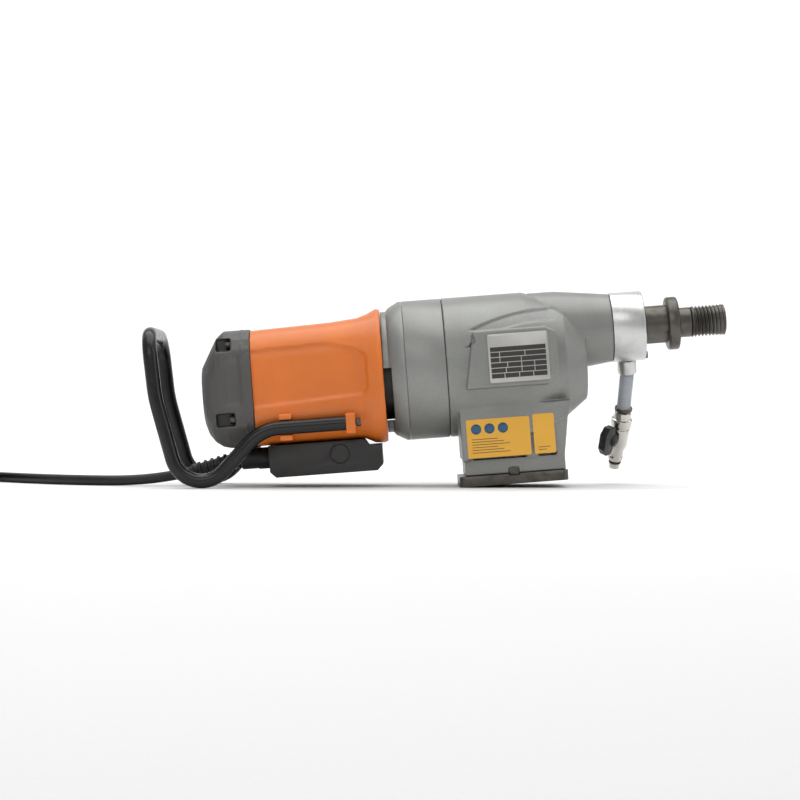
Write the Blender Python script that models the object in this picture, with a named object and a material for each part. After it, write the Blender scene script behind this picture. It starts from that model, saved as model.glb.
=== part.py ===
"""Three-speed wet core drill motor, resting on its handle and its mounting plate.

Everything but the cord is laid out in a level frame: X along the spindle (nose at +X), Z up, with the
origin at the mounting plate's rear bottom edge. The level frame hangs under an empty that tips it
about that edge until the handle touches the floor. Sizes are in metres.
"""

import math

import bmesh
import bpy
from mathutils import Matrix, Vector

WIDE, ROUND, SMALL = 32, 18, 8  # sides of large, middling and small round pieces
GAP = 0.0003  # between pieces that touch
RUNNING = 0.0004  # round a shaft that turns
LEFT, RIGHT = -1, 1  # the side with the rating plate, and the side with the selector
QUARTER = math.pi / 2

# Axes
MOTOR_Z = 0.1225
SPINDLE_RISE = 0.0283  # spindle axis above the motor axis
SPINDLE_Z = MOTOR_Z + SPINDLE_RISE

# Gears: module, teeth, profile shift of the smaller gear
FIRST_MODULE = 0.0015
PINION_TEETH, DRIVE_TEETH = 9, 35
SPEED_MODULE = 0.002
SPEEDS = {"slow": (11, 33), "fast": (19, 25), "middle": (14, 30)}  # layshaft teeth, spindle teeth
SLOW_SHIFT = 0.35
FIRST_SHIFT = 0.5
BACKLASH = 0.00022
CENTRE_SLACK = 0.0001
PRESSURE = math.radians(20)
STUB_ADDENDUM = 0.8
CLEAR_ADDENDUM = -0.05  # the slow and middle pairs pass each other at any angle: only the fast ratio is coupled
GEAR_WIDTH = 0.008
CLUSTER_STEP = 0.0095  # between neighbouring gears of the sliding cluster
SHIFT_TRAVEL = 0.010  # each way from the middle position
FAST_X = 0.030  # where the fast pair meshes

# Motor
HOUSING_REAR, HOUSING_FRONT = -0.201, -0.0685
HOUSING_WALL = 0.0035
HOUSING_HALF_WIDTH = 0.0575
HOUSING_LOW, HOUSING_HIGH = 0.0566, 0.1745
HOUSING_CORNER = 0.034
CAP_REAR = -0.253
STATOR_RADIUS = 0.0480
STATOR_BORE = 0.0247
STATOR_SPAN = (-0.168, -0.104)
CORE_RADIUS = 0.0237
SHAFT_RADIUS = 0.0075
FAN_RADIUS = 0.047
MOTOR_BEARING_RADIUS = 0.0175

# Gearbox
BODY_RADIUS = 0.0715
BODY_WALL = 0.0065
SHIELD_FRONT = -0.0453
RING_FRONT = -0.005
BARREL_END = 0.138
NECK_END = 0.168
LAYSHAFT_RADIUS = 0.006
SPINDLE_BEARING_RADIUS = 0.028
SPINDLE_RADIUS = 0.015

# Base
BLOCK_HALF_WIDTH = 0.0565
BLOCK_WALL = 0.008
FOOT_TOP = 0.025
FOOT_INSET = 0.0020  # from the plate's front edge to the machined foot
PLATE_LENGTH, PLATE_HALF_WIDTH, PLATE_THICKNESS = 0.110, 0.050, 0.0104
KEY_WIDTH, KEY_HEIGHT = 0.010, 0.0076
KEY_X = 0.0556
PAD_FACE = 0.0765  # the flat side pads, from the middle plane

# Water collar and spindle nose
COLLAR_RADIUS, COLLAR_LENGTH = 0.03575, 0.033
FLATS_RADIUS, FLATS_LENGTH, ACROSS_FLATS = 0.0195, 0.0227, 0.032
FLANGE_RADIUS, FLANGE_LENGTH = 0.0272, 0.0119
SHOULDER_RADIUS, SHOULDER_LENGTH = 0.0153, 0.0132
THREAD_RADIUS, THREAD_PITCH, THREAD_CRESTS, THREAD_DEPTH = 0.015875, 0.00363, 9, 0.0021
THREAD_LENGTH = 0.0355
WATER_BORE = 0.005

# Water inlet
INLET_SWING = math.radians(25)  # how far the inlet points to the far side of straight down
HOSE_RADIUS, HOSE_BORE = 0.0077, 0.0054
INLET_X = NECK_END + COLLAR_LENGTH / 2 - 0.0005
HOSE_TOP, HOSE_FOOT = (INLET_X, -0.0527), (INLET_X - 0.0050, -0.0958)  # x, and z from the spindle axis
VALVE_FOOT = (INLET_X - 0.0167, -0.1612)
BALL_AT, BALL_RADIUS = 0.0293, 0.0058
STEM_SPIN = math.radians(-45)  # the valve's stem, turned about its bore towards the near side

# Switch box and cord
BOX_REAR, BOX_FRONT = -0.1906, -0.0756
BOX_LOW, BOX_HALF_WIDTH, BOX_WALL = 0.0236, 0.042, 0.003
GLAND_RADIUS, GLAND_Z = 0.0112, 0.0437
RELIEF_LENGTH, RELIEF_DROP = 0.050, math.radians(9.6)
CORD_RADIUS = 0.00525

# Handle
TUBE_RADIUS = 0.0073
ARM_Y = 0.0635
ARM_Z = 0.074
ARM_FRONT = -0.1100


# Materials

def paint(name, colour, roughness, metallic=0.0):
    made = bpy.data.materials.new(name)
    made.use_nodes = True
    shader = made.node_tree.nodes["Principled BSDF"]
    shader.inputs["Base Color"].default_value = (*colour, 1)
    shader.inputs["Roughness"].default_value = roughness
    shader.inputs["Metallic"].default_value = metallic
    return made


CROWDED = ("gear_housing", "motor_housing")  # castings with more cuts than the exact solver keeps closed

# Shapes. Each returns mesh data about its own origin.

def finished(shape, name):
    bmesh.ops.remove_doubles(shape, verts=shape.verts, dist=1e-7)
    bmesh.ops.recalc_face_normals(shape, faces=shape.faces)
    data = bpy.data.meshes.new(name)
    shape.to_mesh(data)
    shape.free()
    data.shade_smooth()
    data.set_sharp_from_angle(angle=math.radians(35))
    return data


def turned(name, outline, sides=ROUND):
    """An outline of (x, radius) points turned about X: a ring, or a solid if it starts and ends on the axis."""
    shape = bmesh.new()
    circle = [(math.cos(a), math.sin(a)) for a in (2 * math.pi * i / sides for i in range(sides))]
    rings = []
    for x, radius in outline:
        if radius == 0:
            rings.append([shape.verts.new((x, 0, 0))] * sides)
        else:
            rings.append([shape.verts.new((x, radius * c, radius * s)) for c, s in circle])
    ring_shaped = all(radius > 0 for _, radius in outline)
    following = rings[1:] + (rings[:1] if ring_shaped else [])
    for near, far in zip(rings, following):
        for i in range(sides):
            j = (i + 1) % sides
            corners = list(dict.fromkeys((near[i], near[j], far[j], far[i])))
            shape.faces.new(corners)
    return finished(shape, name)


def tube(name, start, end, outer, inner, sides=ROUND):
    return turned(name, [(start, inner), (start, outer), (end, outer), (end, inner)], sides)


def rod(name, start, end, radius, sides=ROUND):
    return turned(name, [(start, 0), (start, radius), (end, radius), (end, 0)], sides)


def extruded(name, outline, axis, low, high):
    """A flat outline pushed along an axis from low to high."""
    places = {"X": lambda u, v, w: (w, u, v), "Y": lambda u, v, w: (u, w, v), "Z": lambda u, v, w: (u, v, w)}
    shape = bmesh.new()
    face = shape.faces.new([shape.verts.new(places[axis](u, v, low)) for u, v in outline])
    pushed = bmesh.ops.extrude_face_region(shape, geom=[face])
    moved = [item for item in pushed["geom"] if isinstance(item, bmesh.types.BMVert)]
    bmesh.ops.translate(shape, verts=moved, vec=places[axis](0, 0, high - low))
    return finished(shape, name)


def star(name, count, root, tip, half_width, start, end):
    """Flat arms round X on a hub, as a fan's blades or an armature's teeth."""
    outline = []
    for arm in range(count):
        around = 2 * math.pi * arm / count
        for radius, across in ((root, -half_width), (tip, -half_width), (tip, half_width), (root, half_width)):
            along = math.sqrt(radius**2 - across**2)
            outline.append((along * math.cos(around) - across * math.sin(around),
                            along * math.sin(around) + across * math.cos(around)))
    return extruded(name, outline, "X", start, end)


def block(name, low, high):
    outline = [(low[0], low[1]), (high[0], low[1]), (high[0], high[1]), (low[0], high[1])]
    return extruded(name, outline, "Z", low[2], high[2])


def rounded_outline(low_u, high_u, low_v, high_v, radius, steps=4):
    outline = []
    corners = ((high_u, high_v, 0), (low_u, high_v, 90), (low_u, low_v, 180), (high_u, low_v, 270))
    for u, v, start in corners:
        centre_u = u - radius if u == high_u else u + radius
        centre_v = v - radius if v == high_v else v + radius
        for i in range(steps + 1):
            angle = math.radians(start + 90 * i / steps)
            outline.append((centre_u + radius * math.cos(angle), centre_v + radius * math.sin(angle)))
    return outline


def lofted(name, sections):
    """A solid through rounded sections (x, half width, low, high, corner radius)."""
    shape = bmesh.new()
    rings = []
    for x, half_width, low, high, corner in sections:
        outline = rounded_outline(-half_width, half_width, low, high, corner)
        rings.append([shape.verts.new((x, y, z)) for y, z in outline])
    shape.faces.new(rings[0])
    shape.faces.new(rings[-1])
    for near, far in zip(rings, rings[1:]):
        for i in range(len(near)):
            j = (i + 1) % len(near)
            shape.faces.new((near[i], near[j], far[j], far[i]))
    return finished(shape, name)


def swept(name, path, radius, sides=SMALL):
    """A round bar along a path."""
    shape = bmesh.new()
    points = [Vector(point) for point in path]
    rings = []
    side = None
    for i, point in enumerate(points):
        ahead = (points[min(i + 1, len(points) - 1)] - points[max(i - 1, 0)]).normalized()
        side = ahead.orthogonal().normalized() if side is None else (side - ahead * side.dot(ahead)).normalized()
        up = ahead.cross(side)
        angles = (2 * math.pi * k / sides for k in range(sides))
        rings.append([shape.verts.new(point + radius * (math.cos(a) * side + math.sin(a) * up)) for a in angles])
    shape.faces.new(rings[0])
    shape.faces.new(rings[-1])
    for near, far in zip(rings, rings[1:]):
        for i in range(sides):
            j = (i + 1) % sides
            shape.faces.new((near[i], near[j], far[j], far[i]))
    return finished(shape, name)


def involute(radius, base):
    return math.sqrt(max((radius / base) ** 2 - 1, 0)) - math.acos(min(base / radius, 1))


def gear_outline(module, teeth, shift, facing, addendum):
    """An involute gear's outline in (y, z), with one tooth centred at the angle facing."""
    pitch = module * teeth / 2
    base = pitch * math.cos(PRESSURE)
    tip = pitch + module * (addendum + shift)
    root = pitch - module * (1.25 - shift)
    thickness = module * (math.pi / 2 + 2 * shift * math.tan(PRESSURE)) - BACKLASH
    half = thickness / (2 * pitch) + involute(pitch, base)
    flank = [(root, half - involute(max(root, base), base))]
    flank.append((tip, half - involute(tip, base)))
    outline = []
    for tooth in range(teeth):
        middle = facing + 2 * math.pi * tooth / teeth
        for radius, angle in flank:
            outline.append((radius, middle - angle))
        for radius, angle in reversed(flank):
            outline.append((radius, middle + angle))
    return [(radius * math.cos(angle), radius * math.sin(angle)) for radius, angle in outline]


def gear(name, module, teeth, shift, facing, middle, width, addendum=STUB_ADDENDUM):
    outline = gear_outline(module, teeth, shift, facing, addendum)
    return extruded(name, outline, "X", middle - width / 2, middle + width / 2)


def rounded_path(corners, steps=5):
    """Straight runs joined by arcs, from (point, bend radius) pairs."""
    path = [Vector(corners[0][0])]
    for before, (corner, radius), after in zip(corners, corners[1:], corners[2:]):
        corner = Vector(corner)
        back = (Vector(before[0]) - corner).normalized()
        ahead = (Vector(after[0]) - corner).normalized()
        half = back.angle(ahead) / 2
        centre = corner + (back + ahead).normalized() * radius / math.sin(half)
        start = corner + back * radius / math.tan(half) - centre
        turn = start.rotation_difference(corner + ahead * radius / math.tan(half) - centre)
        axis, angle = turn.to_axis_angle()
        path += [centre + Matrix.Rotation(angle * i / steps, 3, axis) @ start for i in range(steps + 1)]
    return path + [Vector(corners[-1][0])]


# Pieces

def add(name, data, material, at=(0, 0, 0), rotation=(0, 0, 0), parent=None):
    piece = bpy.data.objects.new(name, data)
    data.materials.append(material)
    piece.location = at
    piece.rotation_euler = rotation
    piece.parent = parent or level
    bpy.context.scene.collection.objects.link(piece)
    return piece


def combine(piece, operation, data, at=(0, 0, 0), rotation=(0, 0, 0)):
    helper = bpy.data.objects.new(f"{piece.name}_{operation.lower()}_{len(piece.modifiers)}", data)
    helper.location = at
    helper.rotation_euler = rotation
    helper.parent = piece
    helper.hide_render = True
    helper.display_type = "WIRE"
    bpy.context.scene.collection.objects.link(helper)
    change = piece.modifiers.new(helper.name, "BOOLEAN")
    change.operation = operation
    change.solver = "MANIFOLD" if piece.name in CROWDED else "EXACT"
    change.object = helper
    return helper


def cut(piece, data, at=(0, 0, 0), rotation=(0, 0, 0)):
    return combine(piece, "DIFFERENCE", data, at, rotation)


def unite(piece, data, at=(0, 0, 0), rotation=(0, 0, 0)):
    return combine(piece, "UNION", data, at, rotation)


def empty(name, parent=None):
    made = bpy.data.objects.new(name, None)
    made.parent = parent
    bpy.context.scene.collection.objects.link(made)
    return made


def layshaft_place():
    """Where the layshaft runs (y, z): one pair's centre distance from the motor, the other's from the spindle."""
    from_motor = FIRST_MODULE * (PINION_TEETH + DRIVE_TEETH) / 2 + CENTRE_SLACK
    from_spindle = SPEED_MODULE * sum(SPEEDS["fast"]) / 2 + CENTRE_SLACK
    rise = (from_motor**2 - from_spindle**2 + SPINDLE_RISE**2) / (2 * SPINDLE_RISE)
    return math.sqrt(from_motor**2 - rise**2), MOTOR_Z + rise


def handle_path():
    """The handle's centre line, from one clamp over the rear bar to the other."""
    side = [
        ((ARM_FRONT, ARM_Z), 0),
        ((-0.1945, ARM_Z), 0.046),
        ((-0.2751, -0.0029), 0.0302),
        ((-0.2985, 0.114), 0.150),
        ((-0.3012, 0.1783), 0.026),
    ]
    near = [((x, LEFT * ARM_Y, z), bend) for (x, z), bend in side]
    far = [((x, RIGHT * ARM_Y, z), bend) for (x, z), bend in reversed(side)]
    return rounded_path(near + far)


def resting_tip():
    """How far the nose tips up when the handle touches the floor behind the plate's rear edge."""
    low, high = 0.0, math.radians(20)
    while high - low > 1e-7:
        tip = (low + high) / 2
        lowest = min(p.z * math.cos(tip) + p.x * math.sin(tip) for p in handle_path()) - TUBE_RADIUS
        low, high = (tip, high) if lowest > 0 else (low, tip)
    return low


for existing in list(bpy.data.objects):
    bpy.data.objects.remove(existing)

floor = empty("floor")
level = empty("level", floor)
level.rotation_euler = (0, -resting_tip(), 0)
LAYSHAFT_Y, LAYSHAFT_Z = layshaft_place()

orange = paint("orange_glass_filled_nylon", (0.69, 0.19, 0.035), 0.42)
dark_grey = paint("dark_grey_nylon", (0.062, 0.062, 0.058), 0.5)
cast = paint("silver_coated_casting", (0.26, 0.26, 0.25), 0.45, 0.6)
machined = paint("machined_aluminium", (0.62, 0.62, 0.62), 0.3, 1)
steel = paint("ground_steel", (0.42, 0.41, 0.40), 0.3, 1)
black_steel = paint("blackened_steel", (0.10, 0.095, 0.085), 0.38, 0.8)
gear_steel = paint("case_hardened_steel", (0.33, 0.32, 0.31), 0.35, 1)
black_rubber = paint("black_rubber", (0.016, 0.016, 0.016), 0.55)
black_coat = paint("black_handle_coating", (0.012, 0.012, 0.012), 0.35)
black_plastic = paint("black_nylon", (0.03, 0.03, 0.028), 0.5)
copper = paint("copper_winding", (0.55, 0.24, 0.10), 0.35, 1)
laminations = paint("stator_laminations", (0.22, 0.22, 0.23), 0.5, 0.8)
nickel = paint("nickel_plated_brass", (0.62, 0.60, 0.56), 0.25, 1)
brass = paint("brass", (0.60, 0.45, 0.20), 0.35, 1)
hose_plastic = paint("clear_braided_hose", (0.62, 0.66, 0.70), 0.25)
carbon = paint("carbon", (0.03, 0.03, 0.03), 0.7)
green = paint("green_button", (0.02, 0.30, 0.08), 0.4)
red = paint("red_button", (0.55, 0.02, 0.02), 0.4)
plate_metal = paint("printed_aluminium_plate", (0.60, 0.60, 0.60), 0.35, 1)


# Motor shells

def cap_sections(inset, front):
    """The rear cap's sections, from its chamfered rear face forward."""
    chamfer_x, chamfer_z = 0.0203, 0.0355
    top = HOUSING_HIGH + 0.0015
    sections = []
    for back, narrow, rise in ((0, 0.015, 0.025), (0.0035, 0.009, 0.0145), (0.009, 0.0045, 0.007),
                               (0.0165, 0.0015, 0.002), (0.0245, 0, 0), (CAP_LENGTH, 0, 0)):
        drop = max(0, chamfer_z * (1 - back / chamfer_x))
        sections.append((CAP_REAR + back, HOUSING_HALF_WIDTH - narrow, HOUSING_LOW + rise, top - drop,
                         HOUSING_CORNER - narrow * 0.6))
    return [(max(x + inset, CAP_REAR + inset) if i < 5 else front, half - inset, low + inset, high - inset,
             corner - inset * 0.5) for i, (x, half, low, high, corner) in enumerate(sections)]


CAP_LENGTH = HOUSING_REAR - GAP - CAP_REAR
CAP_SCREWS = [(side * y, z) for side in (LEFT, RIGHT) for y, z in ((0.0470, 0.0857), (0.0400, 0.1612))]
CAP_POST_RADIUS = 0.0068
CAP_POCKET_FRONT = -0.2206

cap = add("rear_cap", lofted("rear_cap", cap_sections(0, HOUSING_REAR - GAP)), dark_grey)
hollow = cut(cap, lofted("cap_hollow", cap_sections(HOUSING_WALL, HOUSING_REAR + 0.01)))
for y, z in CAP_SCREWS:
    side = math.copysign(1, y)
    pocket_rear = -0.2400 if z < MOTOR_Z else -0.2360
    for change, margin, rear, front in ((hollow, 0.0096, pocket_rear - 0.003, CAP_POCKET_FRONT + 0.0035),
                                        (cap, 0.0066, pocket_rear, CAP_POCKET_FRONT)):
        low, high = sorted((y - side * margin, y + side * 0.03))
        cut(change, block("screw_pocket", (rear, low, z - margin), (front, high, z + margin)))
    unite(cap, rod("cap_post", CAP_POCKET_FRONT + 0.001, HOUSING_REAR - GAP, CAP_POST_RADIUS, SMALL + 2), (0, y, z))
    cut(cap, rod("screw_hole", -0.225, -0.19, 0.0025 + GAP, SMALL), (0, y, z))
for level_z in (0.090, 0.101, 0.112, 0.123, 0.134):
    cut(cap, block("air_slot", (CAP_REAR - 0.01, -0.030, level_z - 0.0025),
                   (CAP_REAR + 0.012, 0.030, level_z + 0.0025)))


def socket_screw(head_radius, head_length, shank_radius, length, sides=SMALL):
    """A cap screw pointing to +X, its head's back at 0, with its socket drilled."""
    socket = head_radius * 0.5
    return turned("socket_screw", [
        (head_length * 0.6, 0), (head_length * 0.6, socket), (0, socket), (0, head_radius),
        (head_length, head_radius), (head_length, shank_radius), (length, shank_radius), (length, 0)], sides)


for number, (y, z) in enumerate(CAP_SCREWS, 1):
    add(f"cap_screw_{number}", socket_screw(0.0045, 0.005, 0.0025, 0.032), steel,
        (CAP_POCKET_FRONT - 0.005 - GAP, y, z))


def housing_sections(inset, rear, front):
    """The motor housing's sections: a straight body, then the flare to its front rim."""
    half = HOUSING_HALF_WIDTH
    rim = BODY_RADIUS - 0.0060
    sections = [
        (rear, half, HOUSING_LOW, HOUSING_HIGH, HOUSING_CORNER),
        (-0.120, half, HOUSING_LOW, HOUSING_HIGH + 0.0025, HOUSING_CORNER),
        (-0.092, half + 0.0005, HOUSING_LOW, HOUSING_HIGH + 0.005, HOUSING_CORNER + 0.002),
        (-0.082, half + 0.004, 0.0515, HOUSING_HIGH + 0.0085, HOUSING_CORNER + 0.012),
        (-0.0724, rim, 0.0505, MOTOR_Z + rim, HOUSING_CORNER + 0.022),
        (front, rim - 0.0012, 0.0520, MOTOR_Z + rim - 0.0012, HOUSING_CORNER + 0.022),
    ]
    return [(x, w - inset, low + inset, high - inset, corner - inset * 0.5)
            for x, w, low, high, corner in sections]


WEB_REAR, WEB_FRONT = -0.198, -0.190
CLAMP_BLOCK = (-0.1097, -0.1000)
housing = add("motor_housing", lofted("motor_housing", housing_sections(0, HOUSING_REAR, HOUSING_FRONT)), orange)
hollow = housing_sections(HOUSING_WALL, WEB_FRONT, HOUSING_FRONT + 0.01)
cut(housing, lofted("housing_hollow", hollow))
cut(housing, lofted("housing_rear_hollow", [
    (x, HOUSING_HALF_WIDTH - HOUSING_WALL, HOUSING_LOW + HOUSING_WALL, HOUSING_HIGH - HOUSING_WALL,
     HOUSING_CORNER - HOUSING_WALL) for x in (HOUSING_REAR - 0.01, WEB_REAR)]))
REAR_BEARING_RADIUS = 0.015
cut(housing, rod("rear_bearing_seat", WEB_REAR - 0.01, WEB_FRONT - 0.001, REAR_BEARING_RADIUS + GAP),
    (0, 0, MOTOR_Z))
cut(housing, rod("shaft_hole", WEB_REAR - 0.01, WEB_FRONT + 0.01, 0.011, 22), (0, 0, MOTOR_Z))
for angle in range(45, 360, 90):
    around = math.radians(angle)
    cut(housing, rod("air_hole", WEB_REAR - 0.01, WEB_FRONT + 0.01, 0.013, SMALL + 2),
        (0, 0.035 * math.cos(around), MOTOR_Z + 0.035 * math.sin(around)))
for y, z in CAP_SCREWS:
    unite(housing, rod("screw_boss", HOUSING_REAR + 0.0001, WEB_REAR + 0.001, CAP_POST_RADIUS, SMALL + 2), (0, y, z))
    cut(housing, rod("screw_thread", HOUSING_REAR - 0.01, -0.186, 0.0025 + GAP, SMALL), (0, y, z))
for side in (LEFT, RIGHT):
    low, high = sorted((side * (HOUSING_HALF_WIDTH - 0.012), side * (ARM_Y + 0.0075)))
    unite(housing, block("handle_clamp", (CLAMP_BLOCK[0], low, 0.0630), (CLAMP_BLOCK[1], high, 0.0836)))
    cut(housing, rod("handle_screw_hole", CLAMP_BLOCK[0] - 0.01, CLAMP_BLOCK[1] + 0.01, 0.0025 + GAP, SMALL),
        (0, side * ARM_Y, ARM_Z))
    for low_z, high_z, reach in ((0.0607, ARM_Z - TUBE_RADIUS - GAP, 0.0360),
                                 (ARM_Z + TUBE_RADIUS + GAP, 0.0875, 0.0480)):
        low, high = sorted((side * reach, side * (ARM_Y + 0.002)))
        unite(housing, block("handle_clip", (-0.1765, low, low_z), (-0.1636, high, high_z)))


# Motor inside

brush_x = -0.180
BRUSH_WIDTH, BRUSH_HEIGHT = 0.008, 0.0125
COMMUTATOR_RADIUS = 0.017
stator = add("stator", tube("stator", *STATOR_SPAN, STATOR_RADIUS, STATOR_BORE, WIDE), laminations, (0, 0, MOTOR_Z))
for x in STATOR_SPAN:
    way = math.copysign(1, x - sum(STATOR_SPAN) / 2)
    ends = sorted((x - way * 0.001, x + way * 0.004))
    unite(stator, tube("end_winding", *ends, 0.041, 0.030, ROUND))
for side in (LEFT, RIGHT):
    low, high = sorted((side * (STATOR_RADIUS - 0.004), side * (HOUSING_HALF_WIDTH - HOUSING_WALL - GAP)))
    unite(stator, block("stator_key", (STATOR_SPAN[0] + 0.004, low, -0.005), (STATOR_SPAN[1] - 0.004, high, 0.005)))
for side in (LEFT, RIGHT):
    name = "left" if side == LEFT else "right"
    wide, tall = BRUSH_WIDTH / 2, BRUSH_HEIGHT / 2
    holder_in, holder_out = 0.0225, HOUSING_HALF_WIDTH - HOUSING_WALL - GAP
    low, high = sorted((side * holder_in, side * holder_out))
    holder = add(f"brush_holder_{name}", block("brush_holder", (-wide - 0.003, low, -tall - 0.003),
                 (wide + 0.003, high, tall + 0.003)), brass, (brush_x, 0, MOTOR_Z))
    low, high = sorted((side * (holder_in - 0.01), side * (holder_out - 0.003)))
    cut(holder, block("brush_slot", (-wide - GAP, low, -tall - GAP), (wide + GAP, high, tall + GAP)))
    low, high = sorted((side * (COMMUTATOR_RADIUS + GAP), side * 0.042))
    brush = add(f"carbon_brush_{name}", block("carbon_brush", (-wide, low, -tall), (wide, high, tall)), carbon,
                (brush_x, 0, MOTOR_Z))
    cut(brush, rod("commutator_face", -0.02, 0.02, COMMUTATOR_RADIUS + GAP))

lay_angle = math.atan2(LAYSHAFT_Z - MOTOR_Z, LAYSHAFT_Y)
PINION_X, PINION_WIDTH = -0.035, 0.013
shaft = add("armature_shaft", turned("armature_shaft", [
    (-0.206, 0), (-0.206, 0.006), (-0.1895, 0.006), (-0.1895, SHAFT_RADIUS), (-0.0520, SHAFT_RADIUS),
    (-0.0500, 0.0043), (-0.027, 0.0043), (-0.027, 0)]), steel, (0, 0, MOTOR_Z))
unite(shaft, gear("pinion", FIRST_MODULE, PINION_TEETH, FIRST_SHIFT, lay_angle, PINION_X, PINION_WIDTH))
core = add("armature_core", star("armature_core", 12, 0.0180, CORE_RADIUS, 0.0040, -0.166, -0.106), laminations,
           (0, 0, MOTOR_Z))
cut(core, rod("core_bore", -0.2, 0, SHAFT_RADIUS + GAP))
add("commutator", tube("commutator", -0.187, -0.1725, COMMUTATOR_RADIUS, SHAFT_RADIUS + GAP), copper,
    (0, 0, MOTOR_Z))
fan = add("fan", rod("fan", -0.0990, -0.0965, FAN_RADIUS, ROUND + 4), black_plastic, (0, 0, MOTOR_Z))
unite(fan, star("fan_blades", 11, 0.016, FAN_RADIUS - 0.0007, 0.001, -0.0970, -0.0840))
cut(fan, rod("fan_bore", -0.2, 0, SHAFT_RADIUS + GAP))
add("motor_rear_bearing", tube("motor_rear_bearing", WEB_REAR - 0.002, WEB_FRONT - 0.001 - GAP, REAR_BEARING_RADIUS,
    0.006 + RUNNING), steel, (0, 0, MOTOR_Z))
add("motor_front_bearing", tube("motor_front_bearing", -0.0660, -0.0560, MOTOR_BEARING_RADIUS, SHAFT_RADIUS + RUNNING),
    steel, (0, 0, MOTOR_Z))


# Gearbox shells

shield = add("bearing_shield", turned("bearing_shield", [
    (-0.0665, MOTOR_BEARING_RADIUS + GAP), (-0.0665, 0.0225), (-0.0545, 0.0235), (-0.0545, 0.0560),
    (HOUSING_FRONT + GAP, 0.0560), (HOUSING_FRONT + GAP, 0.0622), (-0.0625, 0.0622), (-0.0600, 0.0655),
    (-0.0490, BODY_RADIUS), (SHIELD_FRONT - GAP, BODY_RADIUS), (SHIELD_FRONT - GAP, SHAFT_RADIUS + 0.003),
    (-0.0555, SHAFT_RADIUS + 0.003), (-0.0555, MOTOR_BEARING_RADIUS + GAP)], WIDE), cast, (0, 0, MOTOR_Z))
cut(shield, block("air_window", (HOUSING_FRONT - 0.002, -0.10, 0.0727 - MOTOR_Z),
                  (-0.0602, 0.10, 0.1257 - MOTOR_Z)))
add("gearbox_ring", tube("gearbox_ring", SHIELD_FRONT, RING_FRONT - GAP, BODY_RADIUS, BODY_RADIUS - 0.005, WIDE), cast,
    (0, 0, MOTOR_Z))

CARRIER_SPAN = (-0.0135, RING_FRONT - GAP)
carrier = add("gear_carrier_plate", rod("gear_carrier_plate", *CARRIER_SPAN, BODY_RADIUS - 0.005 - GAP, WIDE), machined,
              (0, 0, MOTOR_Z))
LAY_BEARING_RADIUS, REAR_SPINDLE_BEARING = 0.013, 0.0175
RAIL_Y, RAIL_Z, RAIL_RADIUS = 0.044, 0.090, 0.004
for y, z, radius in ((LAYSHAFT_Y, LAYSHAFT_Z, LAY_BEARING_RADIUS), (0, SPINDLE_Z, REAR_SPINDLE_BEARING),
                     (RAIL_Y, RAIL_Z, RAIL_RADIUS)):
    cut(carrier, rod("carrier_seat", -0.03, 0.01, radius + GAP), (0, y, z - MOTOR_Z))

gearbox = add("gear_housing", turned("gear_housing", [
    (RING_FRONT, 0), (RING_FRONT, BODY_RADIUS), (0.078, BODY_RADIUS), (0.117, 0.0585), (BARREL_END, 0.0425),
    (BARREL_END, 0)], WIDE), cast, (0, 0, MOTOR_Z))
unite(gearbox, turned("neck", [(0.050, 0), (0.050, 0.0425), (0.112, 0.0415), (0.146, 0.0375), (NECK_END - GAP, 0.0347),
                               (NECK_END - GAP, 0)], WIDE - 4), (0, 0, SPINDLE_RISE))
block_side = [(0.0045, FOOT_TOP), (0.1090, FOOT_TOP), (0.1130, 0.0630), (0.1180, 0.0800), (0.0045, 0.0800)]
unite(gearbox, extruded("base_block", [(x, z - MOTOR_Z) for x, z in block_side], "Y", -BLOCK_HALF_WIDTH,
                        BLOCK_HALF_WIDTH))
unite(gearbox, block("foot", (0.0065, -PLATE_HALF_WIDTH + 0.003, PLATE_THICKNESS + GAP - MOTOR_Z),
                     (PLATE_LENGTH - FOOT_INSET, PLATE_HALF_WIDTH - 0.003, 0.030 - MOTOR_Z)))
pad = [(0.0130, 0.098), (0.0950, 0.098), (0.1060, 0.110), (0.1060, 0.150), (0.0950, 0.1555), (0.0233, 0.1555)]
for side in (LEFT, RIGHT):
    low, high = sorted((side * 0.050, side * PAD_FACE))
    unite(gearbox, extruded("side_pad", [(x, z - MOTOR_Z) for x, z in pad], "Y", low, high))
INNER_RADIUS = BODY_RADIUS - BODY_WALL
WEB_SPAN = (0.0715, 0.0795)  # the wall that carries the layshaft's front bearing
cut(gearbox, rod("gear_chamber", RING_FRONT - 0.01, WEB_SPAN[0], INNER_RADIUS, WIDE - 2))
cut(gearbox, turned("front_chamber", [(WEB_SPAN[1], 0), (WEB_SPAN[1], 0.060), (0.108, 0.0520), (0.130, 0.0340),
                                      (0.130, 0)], WIDE - 6))
cut(gearbox, block("sump", (0.0045 + BLOCK_WALL, -BLOCK_HALF_WIDTH + BLOCK_WALL, FOOT_TOP - MOTOR_Z),
                   (WEB_SPAN[0] - 0.001, BLOCK_HALF_WIDTH - BLOCK_WALL, -0.050)))
cut(gearbox, block("front_sump", (WEB_SPAN[1] + 0.001, -BLOCK_HALF_WIDTH + BLOCK_WALL, FOOT_TOP - MOTOR_Z),
                   (0.1090 - BLOCK_WALL, BLOCK_HALF_WIDTH - BLOCK_WALL, -0.045)))
LAY_SEAT = (LAYSHAFT_Y, LAYSHAFT_Z - MOTOR_Z)
cut(gearbox, rod("layshaft_seat", WEB_SPAN[0] - 0.01, 0.0785, LAY_BEARING_RADIUS + GAP), (0, *LAY_SEAT))
cut(gearbox, rod("rail_seat", WEB_SPAN[0] - 0.01, WEB_SPAN[0] + 0.005, RAIL_RADIUS + GAP, SMALL),
    (0, RAIL_Y, RAIL_Z - MOTOR_Z))
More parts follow.
